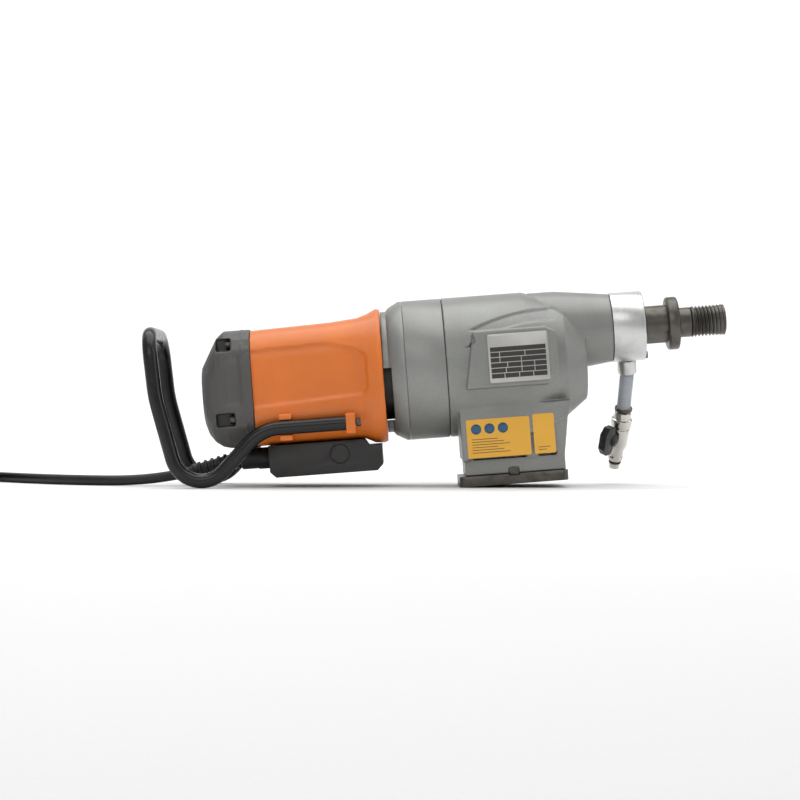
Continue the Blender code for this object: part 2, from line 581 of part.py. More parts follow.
cut(gearbox, rod("spindle_way", 0.050, NECK_END + 0.01, SPINDLE_RADIUS + 0.004), (0, 0, SPINDLE_RISE))
FRONT_BEARING_SPAN = (0.1340, 0.1500)
cut(gearbox, rod("bearing_seat", FRONT_BEARING_SPAN[0] - GAP, NECK_END + 0.01, SPINDLE_BEARING_RADIUS + GAP, ROUND + 4),
    (0, 0, SPINDLE_RISE))

KEY_LOW = PLATE_THICKNESS - 0.0014
cut(gearbox, block("key_slot", (KEY_X - KEY_WIDTH / 2 - GAP, -0.1, 0), (KEY_X + KEY_WIDTH / 2 + GAP, 0.1,
                   KEY_HEIGHT + GAP)), (0, 0, KEY_LOW - MOTOR_Z))
KNOB_X, KNOB_SHAFT_RADIUS = 0.0480, 0.005
cut(gearbox, rod("knob_bore", 0.050, 0.090, KNOB_SHAFT_RADIUS + RUNNING, SMALL + 2), (KNOB_X, 0, LAYSHAFT_Z - MOTOR_Z),
    (0, 0, QUARTER))
PLATE_SCREWS = (0.0240, 0.0880)
for x in PLATE_SCREWS:
    cut(gearbox, rod("plate_screw_hole", 0, 0.0200, 0.004 + GAP, SMALL), (x, 0, -MOTOR_Z), (0, -QUARTER, 0))


# Gearbox inside

def speed_gear(name, speed, on_spindle):
    """The gear of one speed on the spindle or on the sliding cluster, meshing at rest or one travel away."""
    lay_teeth, spindle_teeth = SPEEDS[speed]
    shift = SLOW_SHIFT if speed == "slow" else 0.0
    place = {"slow": -1, "fast": 0, "middle": 1}[speed]
    to_spindle = math.atan2(SPINDLE_Z - LAYSHAFT_Z, -LAYSHAFT_Y)
    addendum = STUB_ADDENDUM if speed == "fast" else CLEAR_ADDENDUM
    if on_spindle:
        middle = FAST_X + place * (CLUSTER_STEP + SHIFT_TRAVEL)
        facing = to_spindle + math.pi + math.pi / spindle_teeth
        return gear(name, SPEED_MODULE, spindle_teeth, -shift, facing, middle, GEAR_WIDTH, addendum)
    middle = FAST_X + place * CLUSTER_STEP
    return gear(name, SPEED_MODULE, lay_teeth, shift, to_spindle, middle, GEAR_WIDTH, addendum)


GEAR_SEAT, REAR_JOURNAL = 0.0125, 0.0085
spindle_gears = add("spindle_gears", rod("spindle_gears", 0.0040, 0.0550, 0.0175), gear_steel, (0, 0, SPINDLE_Z))
for speed in SPEEDS:
    unite(spindle_gears, speed_gear(f"spindle_{speed}", speed, True))
cut(spindle_gears, rod("gear_seat", -0.01, 0.08, GEAR_SEAT + GAP, ROUND - 2))

SPLINE_RADIUS = LAYSHAFT_RADIUS + 0.001
GROOVE_X, GROOVE_RADIUS, GROOVE_WIDTH = 0.0480, 0.0092, 0.0046
cluster = add("shift_cluster", turned("shift_cluster", [
    (0.0165, 0), (0.0165, GROOVE_RADIUS), (GROOVE_X + GROOVE_WIDTH / 2, GROOVE_RADIUS),
    (GROOVE_X + GROOVE_WIDTH / 2, 0.0115), (0.0530, 0.0115), (0.0530, 0)]), gear_steel, (0, LAYSHAFT_Y, LAYSHAFT_Z))
for speed in SPEEDS:
    unite(cluster, speed_gear(f"cluster_{speed}", speed, False))
cut(cluster, rod("cluster_bore", 0, 0.08, SPLINE_RADIUS + GAP, ROUND - 2))

DRIVE_X, DRIVE_WIDTH = PINION_X, 0.012
layshaft = add("layshaft", turned("layshaft", [
    (-0.0425, 0), (-0.0425, LAYSHAFT_RADIUS), (0.0015, LAYSHAFT_RADIUS), (0.0015, SPLINE_RADIUS),
    (WEB_SPAN[0] - 0.0015, SPLINE_RADIUS), (WEB_SPAN[0] - 0.0015, LAYSHAFT_RADIUS), (0.0780, LAYSHAFT_RADIUS),
    (0.0780, 0)]), steel, (0, LAYSHAFT_Y, LAYSHAFT_Z))
drive = add("drive_gear", gear("drive_gear", FIRST_MODULE, DRIVE_TEETH, -FIRST_SHIFT,
            lay_angle + math.pi + math.pi / DRIVE_TEETH, DRIVE_X, DRIVE_WIDTH), gear_steel,
            (0, LAYSHAFT_Y, LAYSHAFT_Z))
cut(drive, rod("drive_bore", -0.06, 0, LAYSHAFT_RADIUS + GAP))
for at, span in (("rear", (CARRIER_SPAN[0] + 0.0005, CARRIER_SPAN[1])), ("front", (WEB_SPAN[0] + 0.0003, 0.0782))):
    add(f"layshaft_{at}_bearing", tube("layshaft_bearing", *span, LAY_BEARING_RADIUS, LAYSHAFT_RADIUS + RUNNING),
        steel, (0, LAYSHAFT_Y, LAYSHAFT_Z))

add("shift_rail", rod("shift_rail", CARRIER_SPAN[0] + 0.001, WEB_SPAN[0] + 0.004, RAIL_RADIUS, SMALL), steel,
    (0, RAIL_Y, RAIL_Z))
FORK_THICKNESS = GROOVE_WIDTH - 2 * RUNNING
PIN_THROW, PIN_RADIUS = 0.01155, 0.003
fork_low, fork_high = GROOVE_X - FORK_THICKNESS / 2, GROOVE_X + FORK_THICKNESS / 2
# The fork's plate in (y, z) about the layshaft: from the rail up past the groove, open towards the spindle
fork_plate = [(0.0040, -0.0370), (0.0185, -0.0370), (0.0215, -0.0100), (0.0215, 0.0060), (0.0110, 0.0125),
              (-0.0020, 0.0060), (-0.0125, -0.0100), (-0.0060, -0.0190)]
fork = add("shift_fork", extruded("shift_fork", fork_plate, "X", fork_low, fork_high), black_steel,
           (0, LAYSHAFT_Y, LAYSHAFT_Z))
cut(fork, rod("groove_clearance", 0, 0.1, GROOVE_RADIUS + RUNNING))
cut(fork, block("fork_mouth", (0, -0.02, 0), (0.1, 0.0, GROOVE_RADIUS + RUNNING)), rotation=(-0.85, 0, 0))
unite(fork, rod("fork_hub", GROOVE_X - 0.008, GROOVE_X + 0.008, 0.0078),
      (0, RAIL_Y - LAYSHAFT_Y, RAIL_Z - LAYSHAFT_Z))
cut(fork, rod("rail_bore", 0, 0.1, RAIL_RADIUS + RUNNING, SMALL), (0, RAIL_Y - LAYSHAFT_Y, RAIL_Z - LAYSHAFT_Z))
unite(fork, block("fork_slot_block", (GROOVE_X - 0.0070, 0.0178, -0.0195), (GROOVE_X + 0.0070, 0.0240, -0.0015)))
cut(fork, block("fork_slot", (GROOVE_X - PIN_RADIUS - 0.0012, 0.0195, -0.04),
                (GROOVE_X + PIN_RADIUS + 0.0012, 0.05, 0.01)))

# The selector turns about Y; its crank pin hangs below its axis at rest.
KNOB_SEAT = PAD_FACE + GAP
knob = add("selector_knob", turned("selector_knob", [
    (0.0575, 0), (0.0575, 0.0150), (0.0605, 0.0150), (0.0605, KNOB_SHAFT_RADIUS), (KNOB_SEAT, KNOB_SHAFT_RADIUS),
    (KNOB_SEAT, 0.0190), (KNOB_SEAT + 0.004, 0.0190), (KNOB_SEAT + 0.0055, 0.0170), (KNOB_SEAT + 0.0055, 0)]),
    black_plastic, (KNOB_X, 0, LAYSHAFT_Z), (0, 0, QUARTER))
unite(knob, block("knob_grip", (KNOB_SEAT + 0.004, -0.0045, -0.0165), (KNOB_SEAT + 0.0150, 0.0045, 0.0165)))
unite(knob, rod("crank_pin", 0.0535, 0.0580, PIN_RADIUS, SMALL), (0, 0, -PIN_THROW))


# Spindle, collar and bearings

FLATS_START = NECK_END + COLLAR_LENGTH + 0.0017
FLANGE_START = FLATS_START + FLATS_LENGTH
SHOULDER_START = FLANGE_START + FLANGE_LENGTH
THREAD_START = SHOULDER_START + SHOULDER_LENGTH
NOSE_END = THREAD_START + THREAD_LENGTH
THREAD_ROOT, THREAD_RUNOUT, EDGE = THREAD_RADIUS - THREAD_DEPTH, 0.0012, 0.0022
thread = []
for crest in range(THREAD_CRESTS):
    start = NOSE_END - THREAD_RUNOUT - (THREAD_CRESTS - crest) * THREAD_PITCH
    thread += [(start, THREAD_ROOT), (start + THREAD_PITCH / 2, THREAD_RADIUS)]
spindle = add("spindle", turned("spindle", [
    (-0.0140, 0), (-0.0140, REAR_JOURNAL), (-0.0045, REAR_JOURNAL), (-0.0045, GEAR_SEAT), (0.0553, GEAR_SEAT),
    (0.0553, SPINDLE_RADIUS + 0.002), (0.0600, SPINDLE_RADIUS + 0.002), (0.0600, SPINDLE_RADIUS),
    (FLATS_START, SPINDLE_RADIUS), (FLATS_START, FLATS_RADIUS), (FLANGE_START, FLATS_RADIUS),
    (FLANGE_START, FLANGE_RADIUS - EDGE), (FLANGE_START + EDGE, FLANGE_RADIUS),
    (SHOULDER_START - EDGE, FLANGE_RADIUS), (SHOULDER_START, FLANGE_RADIUS - EDGE),
    (SHOULDER_START, SHOULDER_RADIUS), (THREAD_START, SHOULDER_RADIUS), (THREAD_START, THREAD_ROOT), *thread,
    (NOSE_END - THREAD_RUNOUT, THREAD_ROOT), (NOSE_END, THREAD_ROOT - 0.0009), (NOSE_END, 0)]), black_steel,
    (0, 0, SPINDLE_Z))
for turn in (math.radians(30), math.radians(210)):
    cut(spindle, block("wrench_flat", (FLATS_START - 0.001, -0.03, ACROSS_FLATS / 2),
                       (FLANGE_START - 0.0005, 0.03, 0.03)), rotation=(turn, 0, 0))
cut(spindle, rod("water_bore", NECK_END + COLLAR_LENGTH * 0.45, NOSE_END + 0.01, WATER_BORE, SMALL))
cut(spindle, rod("water_port", -0.03, 0.03, 0.003, SMALL - 2), (NECK_END + COLLAR_LENGTH / 2, 0, 0), (0, QUARTER, 0))
add("spindle_rear_bearing", tube("spindle_rear_bearing", CARRIER_SPAN[0] + 0.0005, CARRIER_SPAN[1],
    REAR_SPINDLE_BEARING, REAR_JOURNAL + RUNNING), steel, (0, 0, SPINDLE_Z))
add("spindle_front_bearing", tube("spindle_front_bearing", *FRONT_BEARING_SPAN, SPINDLE_BEARING_RADIUS,
    SPINDLE_RADIUS + RUNNING), steel, (0, 0, SPINDLE_Z))
add("spindle_seal", tube("spindle_seal", FRONT_BEARING_SPAN[1] + GAP, NECK_END - GAP, SPINDLE_BEARING_RADIUS,
    SPINDLE_RADIUS + RUNNING), black_rubber, (0, 0, SPINDLE_Z))
COLLAR_SPAN = (NECK_END, NECK_END + COLLAR_LENGTH)
COLLAR_SCREW_DROP = 0.0302
collar = add("water_collar", turned("water_collar", [
    (COLLAR_SPAN[0], SPINDLE_RADIUS + RUNNING), (COLLAR_SPAN[0], COLLAR_RADIUS),
    (COLLAR_SPAN[1] - 0.0008, COLLAR_RADIUS), (COLLAR_SPAN[1], COLLAR_RADIUS - 0.0008),
    (COLLAR_SPAN[1], SPINDLE_RADIUS + RUNNING)], WIDE), machined, (0, 0, SPINDLE_Z), (INLET_SWING, 0, 0))
cut(collar, rod("water_groove", COLLAR_SPAN[0] + 0.0112, COLLAR_SPAN[1] - 0.0112, 0.0215, ROUND + 2))
cut(collar, rod("inlet_port", 0.018, 0.05, 0.0062 + GAP, SMALL + 2), (HOSE_TOP[0], 0, 0), (0, QUARTER, 0))
cut(collar, rod("collar_screw_hole", COLLAR_SPAN[1] - 0.012, COLLAR_SPAN[1] + 0.01, 0.002 + GAP, SMALL),
    (0, -COLLAR_SCREW_DROP * math.sin(INLET_SWING), -COLLAR_SCREW_DROP * math.cos(INLET_SWING)))
add("collar_screw", socket_screw(0.0040, 0.0028, 0.0020, 0.0120), black_steel,
    (COLLAR_SPAN[1] + 0.0028 + GAP, 0, SPINDLE_Z - COLLAR_SCREW_DROP), (0, math.pi, 0))


# Water inlet, hanging below the collar

def between(start, end):
    """Place and turn of a piece whose own X runs from start to end, both (x, z) in the middle plane."""
    run = Vector((end[0] - start[0], 0, end[1] - start[1]))
    return (start[0], 0, start[1]), (0, -math.atan2(run.z, run.x), 0), run.length


inlet = empty("inlet", level)
inlet.location.z = SPINDLE_Z
inlet.rotation_euler.x = INLET_SWING
FITTING_TOP, FITTING_SHOULDER = -0.0262, -COLLAR_RADIUS - GAP - 0.0002
at, rotation, hose_length = between(HOSE_TOP, HOSE_FOOT)
add("hose_fitting", turned("hose_fitting", [
    (HOSE_TOP[1] - FITTING_TOP, 0), (HOSE_TOP[1] - FITTING_TOP, 0.0055), (HOSE_TOP[1] - FITTING_SHOULDER, 0.0055),
    (HOSE_TOP[1] - FITTING_SHOULDER, 0.0095), (-0.0016, 0.0100), (-0.0016, 0.0046), (0.0060, 0.0044), (0.0060, 0)]),
    machined, (HOSE_TOP[0], 0, HOSE_TOP[1]), (0, QUARTER, 0), inlet)
add("water_hose", tube("water_hose", GAP, hose_length, HOSE_RADIUS, HOSE_BORE), hose_plastic, at, rotation, inlet)
CLAMP_SPAN = (hose_length - 0.0040, hose_length - 0.0012)
add("hose_clamp", tube("hose_clamp", *CLAMP_SPAN, 0.0093, HOSE_RADIUS + GAP), black_steel, at, rotation, inlet)
valve_at, valve_turn, valve_length = between(HOSE_FOOT, VALVE_FOOT)
RING_SPAN, RING_SEAT = (0.0583, 0.0607), 0.0046
valve = add("valve_body", turned("valve_body", [
    (-0.0060, 0), (-0.0060, HOSE_BORE - 0.0006), (0.0009, HOSE_BORE - 0.0006), (0.0009, 0.0088), (0.0085, 0.0088),
    (0.0090, 0.0110), (0.0170, 0.0108), (0.0175, 0.0088), (0.0195, 0.0088), (0.0200, 0.0100), (0.0395, 0.0096),
    (0.0455, 0.0073), (0.0520, 0.0073), (0.0525, 0.0079), (0.0560, 0.0079), (0.0565, 0.0060), (RING_SPAN[0], 0.0060),
    (RING_SPAN[0], RING_SEAT), (RING_SPAN[1], RING_SEAT), (RING_SPAN[1], 0.0060), (valve_length, 0.0056),
    (valve_length, 0)], ROUND - 4), nickel, valve_at, valve_turn, inlet)
stem_turn = (Matrix.Rotation(STEM_SPIN, 3, "X") @ Matrix.Rotation(QUARTER, 3, "Y")).to_euler()
cut(valve, rod("valve_way", BALL_AT + 0.002, valve_length + 0.01, 0.0032, SMALL))
cut(valve, rod("ball_seat", -BALL_RADIUS - GAP, BALL_RADIUS + GAP, BALL_RADIUS + GAP), (BALL_AT, 0, 0), stem_turn)
cut(valve, rod("stem_way", 0, 0.03, 0.0030 + RUNNING, SMALL), (BALL_AT, 0, 0), stem_turn)
add("valve_o_ring", tube("valve_o_ring", RING_SPAN[0] + GAP, RING_SPAN[1] - GAP, 0.0066, RING_SEAT + GAP),
    black_rubber, valve_at, valve_turn, inlet)
ball = add("valve_ball", turned("valve_ball", [
    (-BALL_RADIUS, 0)] + [(-BALL_RADIUS * math.cos(math.radians(a)), BALL_RADIUS * math.sin(math.radians(a)))
                          for a in range(20, 160, 20)] + [(0.0058, 0.0026), (0.0092, 0.0026), (0.0092, 0)], ROUND - 4),
           nickel, (BALL_AT, 0, 0), stem_turn, valve)
cut(ball, rod("ball_bore", -0.02, 0.02, 0.0032, SMALL), rotation=(0, QUARTER, 0))
wing = add("valve_knob", turned("valve_knob", [
    (0.0095, 0), (0.0095, 0.0026), (0.0107, 0.0028), (0.0107, 0.0078), (0.0165, 0.0082), (0.0185, 0.0060),
    (0.0185, 0)], ROUND - 4), black_plastic, (BALL_AT, 0, 0), stem_turn, valve)
wing_outline = [(0.0160, -0.0155), (0.0135, -0.0095), (0.0135, 0.0095), (0.0160, 0.0155), (0.0240, 0.0155),
                (0.0290, 0.0080), (0.0290, -0.0080), (0.0240, -0.0155)]
unite(wing, extruded("wing", wing_outline, "Y", -0.0042, 0.0042))


# Mounting plate

plate_ends = rounded_outline(0, PLATE_LENGTH, -PLATE_HALF_WIDTH, PLATE_HALF_WIDTH, 0.006, 4)
plate = add("mounting_plate", extruded("mounting_plate", plate_ends, "Z", 0, PLATE_THICKNESS), black_steel)
cut(plate, block("plate_key_slot", (KEY_X - KEY_WIDTH / 2 - GAP, -0.1, KEY_LOW - GAP),
                 (KEY_X + KEY_WIDTH / 2 + GAP, 0.1, 0.03)))
for number, x in enumerate(PLATE_SCREWS, 1):
    cut(plate, rod("plate_hole", -0.01, 0.03, 0.004 + GAP, SMALL), (x, 0, 0), (0, -QUARTER, 0))
    cut(plate, rod("plate_counterbore", -0.01, 0.0070, 0.0070, SMALL + 2), (x, 0, 0), (0, -QUARTER, 0))
    add(f"plate_screw_{number}", socket_screw(0.0065, 0.0060, 0.0040, 0.0185), steel, (x, 0, 0.0070 - 0.0060
        - GAP), (0, -QUARTER, 0))
key_half = PLATE_HALF_WIDTH - 0.0035
add("parallel_key", block("parallel_key", (-KEY_WIDTH / 2, -key_half, 0), (KEY_WIDTH / 2, key_half, KEY_HEIGHT)),
    black_steel, (KEY_X, 0, KEY_LOW))
plate_outline = rounded_outline(0.0369, 0.0972, 0.1025, 0.1511, 0.002, 3)
add("rating_plate", extruded("rating_plate", plate_outline, "Y", -PAD_FACE - GAP - 0.0008, -PAD_FACE - GAP),
    plate_metal)


# Handle

handle = add("handle", swept("handle", handle_path(), TUBE_RADIUS), black_coat)
for side, name in ((LEFT, "left"), (RIGHT, "right")):
    cut(handle, rod("handle_thread", ARM_FRONT - 0.014, ARM_FRONT + 0.01, 0.0025 + GAP, SMALL), (0, side * ARM_Y, ARM_Z))
    add(f"handle_screw_{name}", socket_screw(0.0043, 0.0048, 0.0025, 0.0260), black_steel,
        (CLAMP_BLOCK[1] + 0.0048 + GAP, side * ARM_Y, ARM_Z), (0, math.pi, 0))


# Switch box, its buttons and the cord's gland

BOX_HIGH, BOX_STEP = HOUSING_LOW - GAP, 0.0495
box_side = [(BOX_REAR, BOX_LOW + 0.006), (BOX_REAR + 0.006, BOX_LOW), (BOX_FRONT - 0.006, BOX_LOW),
            (BOX_FRONT, BOX_LOW + 0.006), (BOX_FRONT, BOX_STEP), (-0.0890, BOX_STEP), (-0.0935, BOX_HIGH),
            (BOX_REAR, BOX_HIGH)]
hollow_side = [(BOX_REAR + BOX_WALL, BOX_LOW + 0.0075), (BOX_REAR + 0.0075, BOX_LOW + BOX_WALL),
               (-0.0965, BOX_LOW + BOX_WALL), (-0.0965, BOX_HIGH + 0.01), (BOX_REAR + BOX_WALL, BOX_HIGH + 0.01)]
box = add("switch_box", extruded("switch_box", box_side, "Y", -BOX_HALF_WIDTH, BOX_HALF_WIDTH), black_plastic)
cut(box, extruded("box_hollow", hollow_side, "Y", -BOX_HALF_WIDTH + BOX_WALL, BOX_HALF_WIDTH - BOX_WALL))
BLANK_X, BLANK_Z, BLANK_RADIUS = -0.1187, 0.0430, 0.0100
cut(box, rod("blank_hole", BOX_HALF_WIDTH - 0.01, BOX_HALF_WIDTH + 0.01, 0.0080), (BLANK_X, 0, BLANK_Z),
    (0, 0, -QUARTER))
add("blank_plug", turned("blank_plug", [
    (BOX_HALF_WIDTH - 0.006, 0), (BOX_HALF_WIDTH - 0.006, 0.0080 - GAP), (BOX_HALF_WIDTH + GAP, 0.0080 - GAP),
    (BOX_HALF_WIDTH + GAP, BLANK_RADIUS), (BOX_HALF_WIDTH + 0.0016, BLANK_RADIUS - 0.0006),
    (BOX_HALF_WIDTH + 0.0016, 0)]), black_plastic, (BLANK_X, 0, BLANK_Z), (0, 0, -QUARTER))
for name, x, colour in (("start_button", -0.1480, green), ("stop_button", -0.1180, red)):
    cut(box, rod("button_hole", 0.03, BOX_HALF_WIDTH + 0.01, 0.0085 + GAP), (x, 0, BLANK_Z - 0.003),
        (0, 0, QUARTER))
    add(name, turned(name, [(BOX_HALF_WIDTH - 0.008, 0), (BOX_HALF_WIDTH - 0.008, 0.0085),
                            (BOX_HALF_WIDTH + 0.0042, 0.0085), (BOX_HALF_WIDTH + 0.0050, 0.0077),
                            (BOX_HALF_WIDTH + 0.0050, 0)]), colour, (x, 0, BLANK_Z - 0.003), (0, 0, QUARTER))
cut(box, rod("gland_hole", -0.02, 0.02, 0.0080 + GAP), (BOX_REAR, 0, GLAND_Z))
add("cable_gland", turned("cable_gland", [
    (BOX_REAR + 0.0060, 0.0060), (BOX_REAR + 0.0060, 0.0080), (BOX_REAR - GAP, 0.0080), (BOX_REAR - GAP, GLAND_RADIUS),
    (-0.2030, GLAND_RADIUS), (-0.2045, 0.0104), (-0.2200, 0.0104), (-0.2210, 0.0096), (-0.2210, 0.0060)]),
    black_plastic, (0, 0, GLAND_Z))
relief = []
RIBS, RIB_START = 6, 0.006
for rib in range(RIBS):
    start = RIB_START + rib * (RELIEF_LENGTH - RIB_START) / RIBS
    taper = 0.0010 * rib / RIBS
    relief += [(start, 0.0076 - taper), (start + 0.0008, 0.0096 - taper), (start + 0.0040, 0.0096 - taper),
               (start + 0.0048, 0.0076 - taper)]
RELIEF_AT = (-0.2213 - 0.0092 * math.sin(RELIEF_DROP), 0, GLAND_Z + 0.0005)
add("strain_relief", turned("strain_relief", [(0, 0), (0, 0.0092), (RIB_START - 0.001, 0.0090), *relief[:-1],
    (RELIEF_LENGTH, 0.0070), (RELIEF_LENGTH, 0)], SMALL + 2), black_rubber, RELIEF_AT, (0, math.pi - RELIEF_DROP, 0))


# The cord lies on the floor, so its route is in the floor's frame.

def floor_place(point):
    """A level point in the floor's frame."""
    tip = resting_tip()
    return Vector((point[0] * math.cos(tip) - point[2] * math.sin(tip), point[1],
                   point[0] * math.sin(tip) + point[2] * math.cos(tip)))


CORD_EXIT = floor_place((RELIEF_AT[0] - (RELIEF_LENGTH + GAP) * math.cos(RELIEF_DROP), 0,
                         RELIEF_AT[2] - (RELIEF_LENGTH + GAP) * math.sin(RELIEF_DROP)))
RESTING = CORD_RADIUS + 0.0001
CORD_ROUTE = [
    (-0.2860, 0.0000, 0.0125), (-0.2990, 0.0000, 0.0101), (-0.3130, 0.0002, 0.0081), (-0.3280, 0.0010, 0.0066),
    (-0.3450, 0.0030, 0.0057), (-0.3620, 0.0065, RESTING), (-0.3790, 0.0120, RESTING), (-0.3960, 0.0200, RESTING),
    (-0.4130, 0.0308, RESTING), (-0.4290, 0.0434, RESTING), (-0.4440, 0.0570, RESTING), (-0.4585, 0.0712, RESTING),
    (-0.4725, 0.0856, RESTING), (-0.4860, 0.1002, RESTING), (-0.4985, 0.1150, RESTING),
]
cord_curve = bpy.data.curves.new("power_cord", "CURVE")
cord_curve.dimensions = "3D"
cord_curve.bevel_depth = CORD_RADIUS
cord_curve.bevel_resolution = 3
cord_curve.use_fill_caps = True
spline = cord_curve.splines.new("POLY")
cord_points = [CORD_EXIT] + CORD_ROUTE
spline.points.add(len(cord_points) - 1)
for spot, point in zip(spline.points, cord_points):
    spot.co = (*point, 1)
add("power_cord", cord_curve, black_rubber, parent=floor)

COIL_AT, COIL_MIDDLE, COIL_HALF_BAND, COIL_HEIGHT = (-0.5762, 0.1007), 0.0580, 0.0160, 0.0540
coil_ring = [(0.0003, COIL_MIDDLE - COIL_HALF_BAND + 0.004), (0.0003, COIL_MIDDLE + COIL_HALF_BAND - 0.004),
             (0.0043, COIL_MIDDLE + COIL_HALF_BAND), (COIL_HEIGHT - 0.004, COIL_MIDDLE + COIL_HALF_BAND),
             (COIL_HEIGHT, COIL_MIDDLE + COIL_HALF_BAND - 0.004), (COIL_HEIGHT, COIL_MIDDLE - COIL_HALF_BAND + 0.004),
             (COIL_HEIGHT - 0.004, COIL_MIDDLE - COIL_HALF_BAND), (0.0043, COIL_MIDDLE - COIL_HALF_BAND)]
add("cord_coil", turned("cord_coil", coil_ring, ROUND + 4), black_rubber, (*COIL_AT, 0), (0, -QUARTER, 0), floor)
PLUG_RADIUS = 0.0185
PLUG_AT = (COIL_AT[0] - COIL_MIDDLE, COIL_AT[1] + 0.030, COIL_HEIGHT + PLUG_RADIUS + GAP)
plug = add("power_plug", turned("power_plug", [
    (0, 0), (0, 0.0072), (0.0120, 0.0088), (0.0200, 0.0150), (0.0280, PLUG_RADIUS), (0.0520, PLUG_RADIUS),
    (0.0530, 0.0175), (0.0530, 0)]), black_rubber, PLUG_AT, (0, 0, -QUARTER), floor)
for side in (LEFT, RIGHT):
    unite(plug, rod("plug_pin", 0.050, 0.0720, 0.0024, SMALL), (0, side * 0.0095, 0))


# Centre the rig on the origin: the cord and its plug are not counted.

bpy.context.view_layer.update()
graph = bpy.context.evaluated_depsgraph_get()
loose = ("power_cord", "cord_coil", "power_plug")
corners = [piece.matrix_world @ Vector(corner) for piece in bpy.data.objects
           if piece.type == "MESH" and not piece.hide_render and piece.name not in loose
           for corner in (vertex.co for vertex in piece.evaluated_get(graph).data.vertices)]
for axis in (0, 1):
    floor.location[axis] = -(min(c[axis] for c in corners) + max(c[axis] for c in corners)) / 2
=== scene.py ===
import math

import bmesh
import bpy
import numpy as np
from mathutils import Matrix, Vector


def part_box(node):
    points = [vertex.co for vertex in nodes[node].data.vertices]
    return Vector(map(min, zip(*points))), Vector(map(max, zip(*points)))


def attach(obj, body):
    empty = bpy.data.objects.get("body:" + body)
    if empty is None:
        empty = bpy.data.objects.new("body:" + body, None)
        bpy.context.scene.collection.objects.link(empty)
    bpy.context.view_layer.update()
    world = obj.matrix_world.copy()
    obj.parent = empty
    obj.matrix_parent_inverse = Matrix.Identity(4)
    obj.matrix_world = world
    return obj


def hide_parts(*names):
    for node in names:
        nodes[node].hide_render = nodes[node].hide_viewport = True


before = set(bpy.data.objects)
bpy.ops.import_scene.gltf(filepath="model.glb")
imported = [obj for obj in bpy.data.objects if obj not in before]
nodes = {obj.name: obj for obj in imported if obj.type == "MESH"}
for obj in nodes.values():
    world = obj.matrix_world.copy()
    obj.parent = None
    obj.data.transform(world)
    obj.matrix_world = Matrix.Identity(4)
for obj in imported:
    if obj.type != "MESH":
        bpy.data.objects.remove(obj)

for name in ("Cube", "Light", "Camera"):
    if name in bpy.data.objects:
        bpy.data.objects.remove(bpy.data.objects[name])
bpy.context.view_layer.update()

# The machine stands on its plate's rear bottom edge and leans back onto its handle. Pieces are
# drawn level, in metres, from that edge: x to the nose, z up, y to the far side.
rig = {
    "tip": math.radians(4.289207),  # nose up
    "plateLength": 0.110,
    "motorZ": 0.1225,  # height of the motor's axis
    "spindleZ": 0.1508,  # height of the spindle's axis
}
plateLow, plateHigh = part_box("mounting_plate")
edgeX = plateHigh[0] - rig["plateLength"] * math.cos(rig["tip"])
edge = Vector((edgeX, (plateLow[1] + plateHigh[1]) / 2, 0))
level = Matrix.Translation(edge) @ Matrix.Rotation(-rig["tip"], 4, "Y")
onSpindle = level @ Matrix.Translation((0, 0, rig["spindleZ"]))
onMotor = level @ Matrix.Translation((0, 0, rig["motorZ"]))


# Linear red, green, blue and alpha of an sRGB hex colour.
def linear(hexColour):
    values = [int(hexColour[i:i + 2], 16) / 255 for i in (1, 3, 5)]
    values = [v / 12.92 if v <= 0.04045 else ((v + 0.055) / 1.055) ** 2.4 for v in values]
    return (*values, 1.0)


# Gives a node's inputs, by name or number, a link or a plain value each.
def feed(tree, made, inputs):
    for name, value in inputs.items():
        if isinstance(value, bpy.types.NodeSocket):
            tree.links.new(value, made.inputs[name])
        else:
            made.inputs[name].default_value = value


# Adds a node: settings are its own properties.
def node(tree, kind, inputs, **settings):
    made = tree.nodes.new(kind)
    for name, value in settings.items():
        setattr(made, name, value)
    feed(tree, made, inputs)
    return made


def newMaterial(name):
    made = bpy.data.materials.new(name)
    made.use_nodes = True
    made.node_tree.nodes.clear()
    tree = made.node_tree
    shader = node(tree, "ShaderNodeBsdfPrincipled", {})
    node(tree, "ShaderNodeOutputMaterial", {"Surface": shader.outputs[0]})
    place = node(tree, "ShaderNodeTexCoord", {}).outputs["Object"]
    return made, tree, shader, place


# Scale of a pattern whose real size is in millimetres.
def perMetre(millimetres):
    return 1000 / millimetres


# Camera: level with the machine, square on its near side.
view = {"distance": 2.2, "lens": 96, "sensor": 36, "across": -0.0377, "height": 0.0885}
cameraData = bpy.data.cameras.new("camera")
cameraData.lens = view["lens"]
cameraData.sensor_width = view["sensor"]
camera = bpy.data.objects.new("camera", cameraData)
camera.location = (view["across"], edge.y - view["distance"], view["height"])
camera.rotation_euler = (math.pi / 2, 0, 0)
bpy.context.scene.collection.objects.link(camera)
bpy.context.scene.camera = camera
print("camera placed")


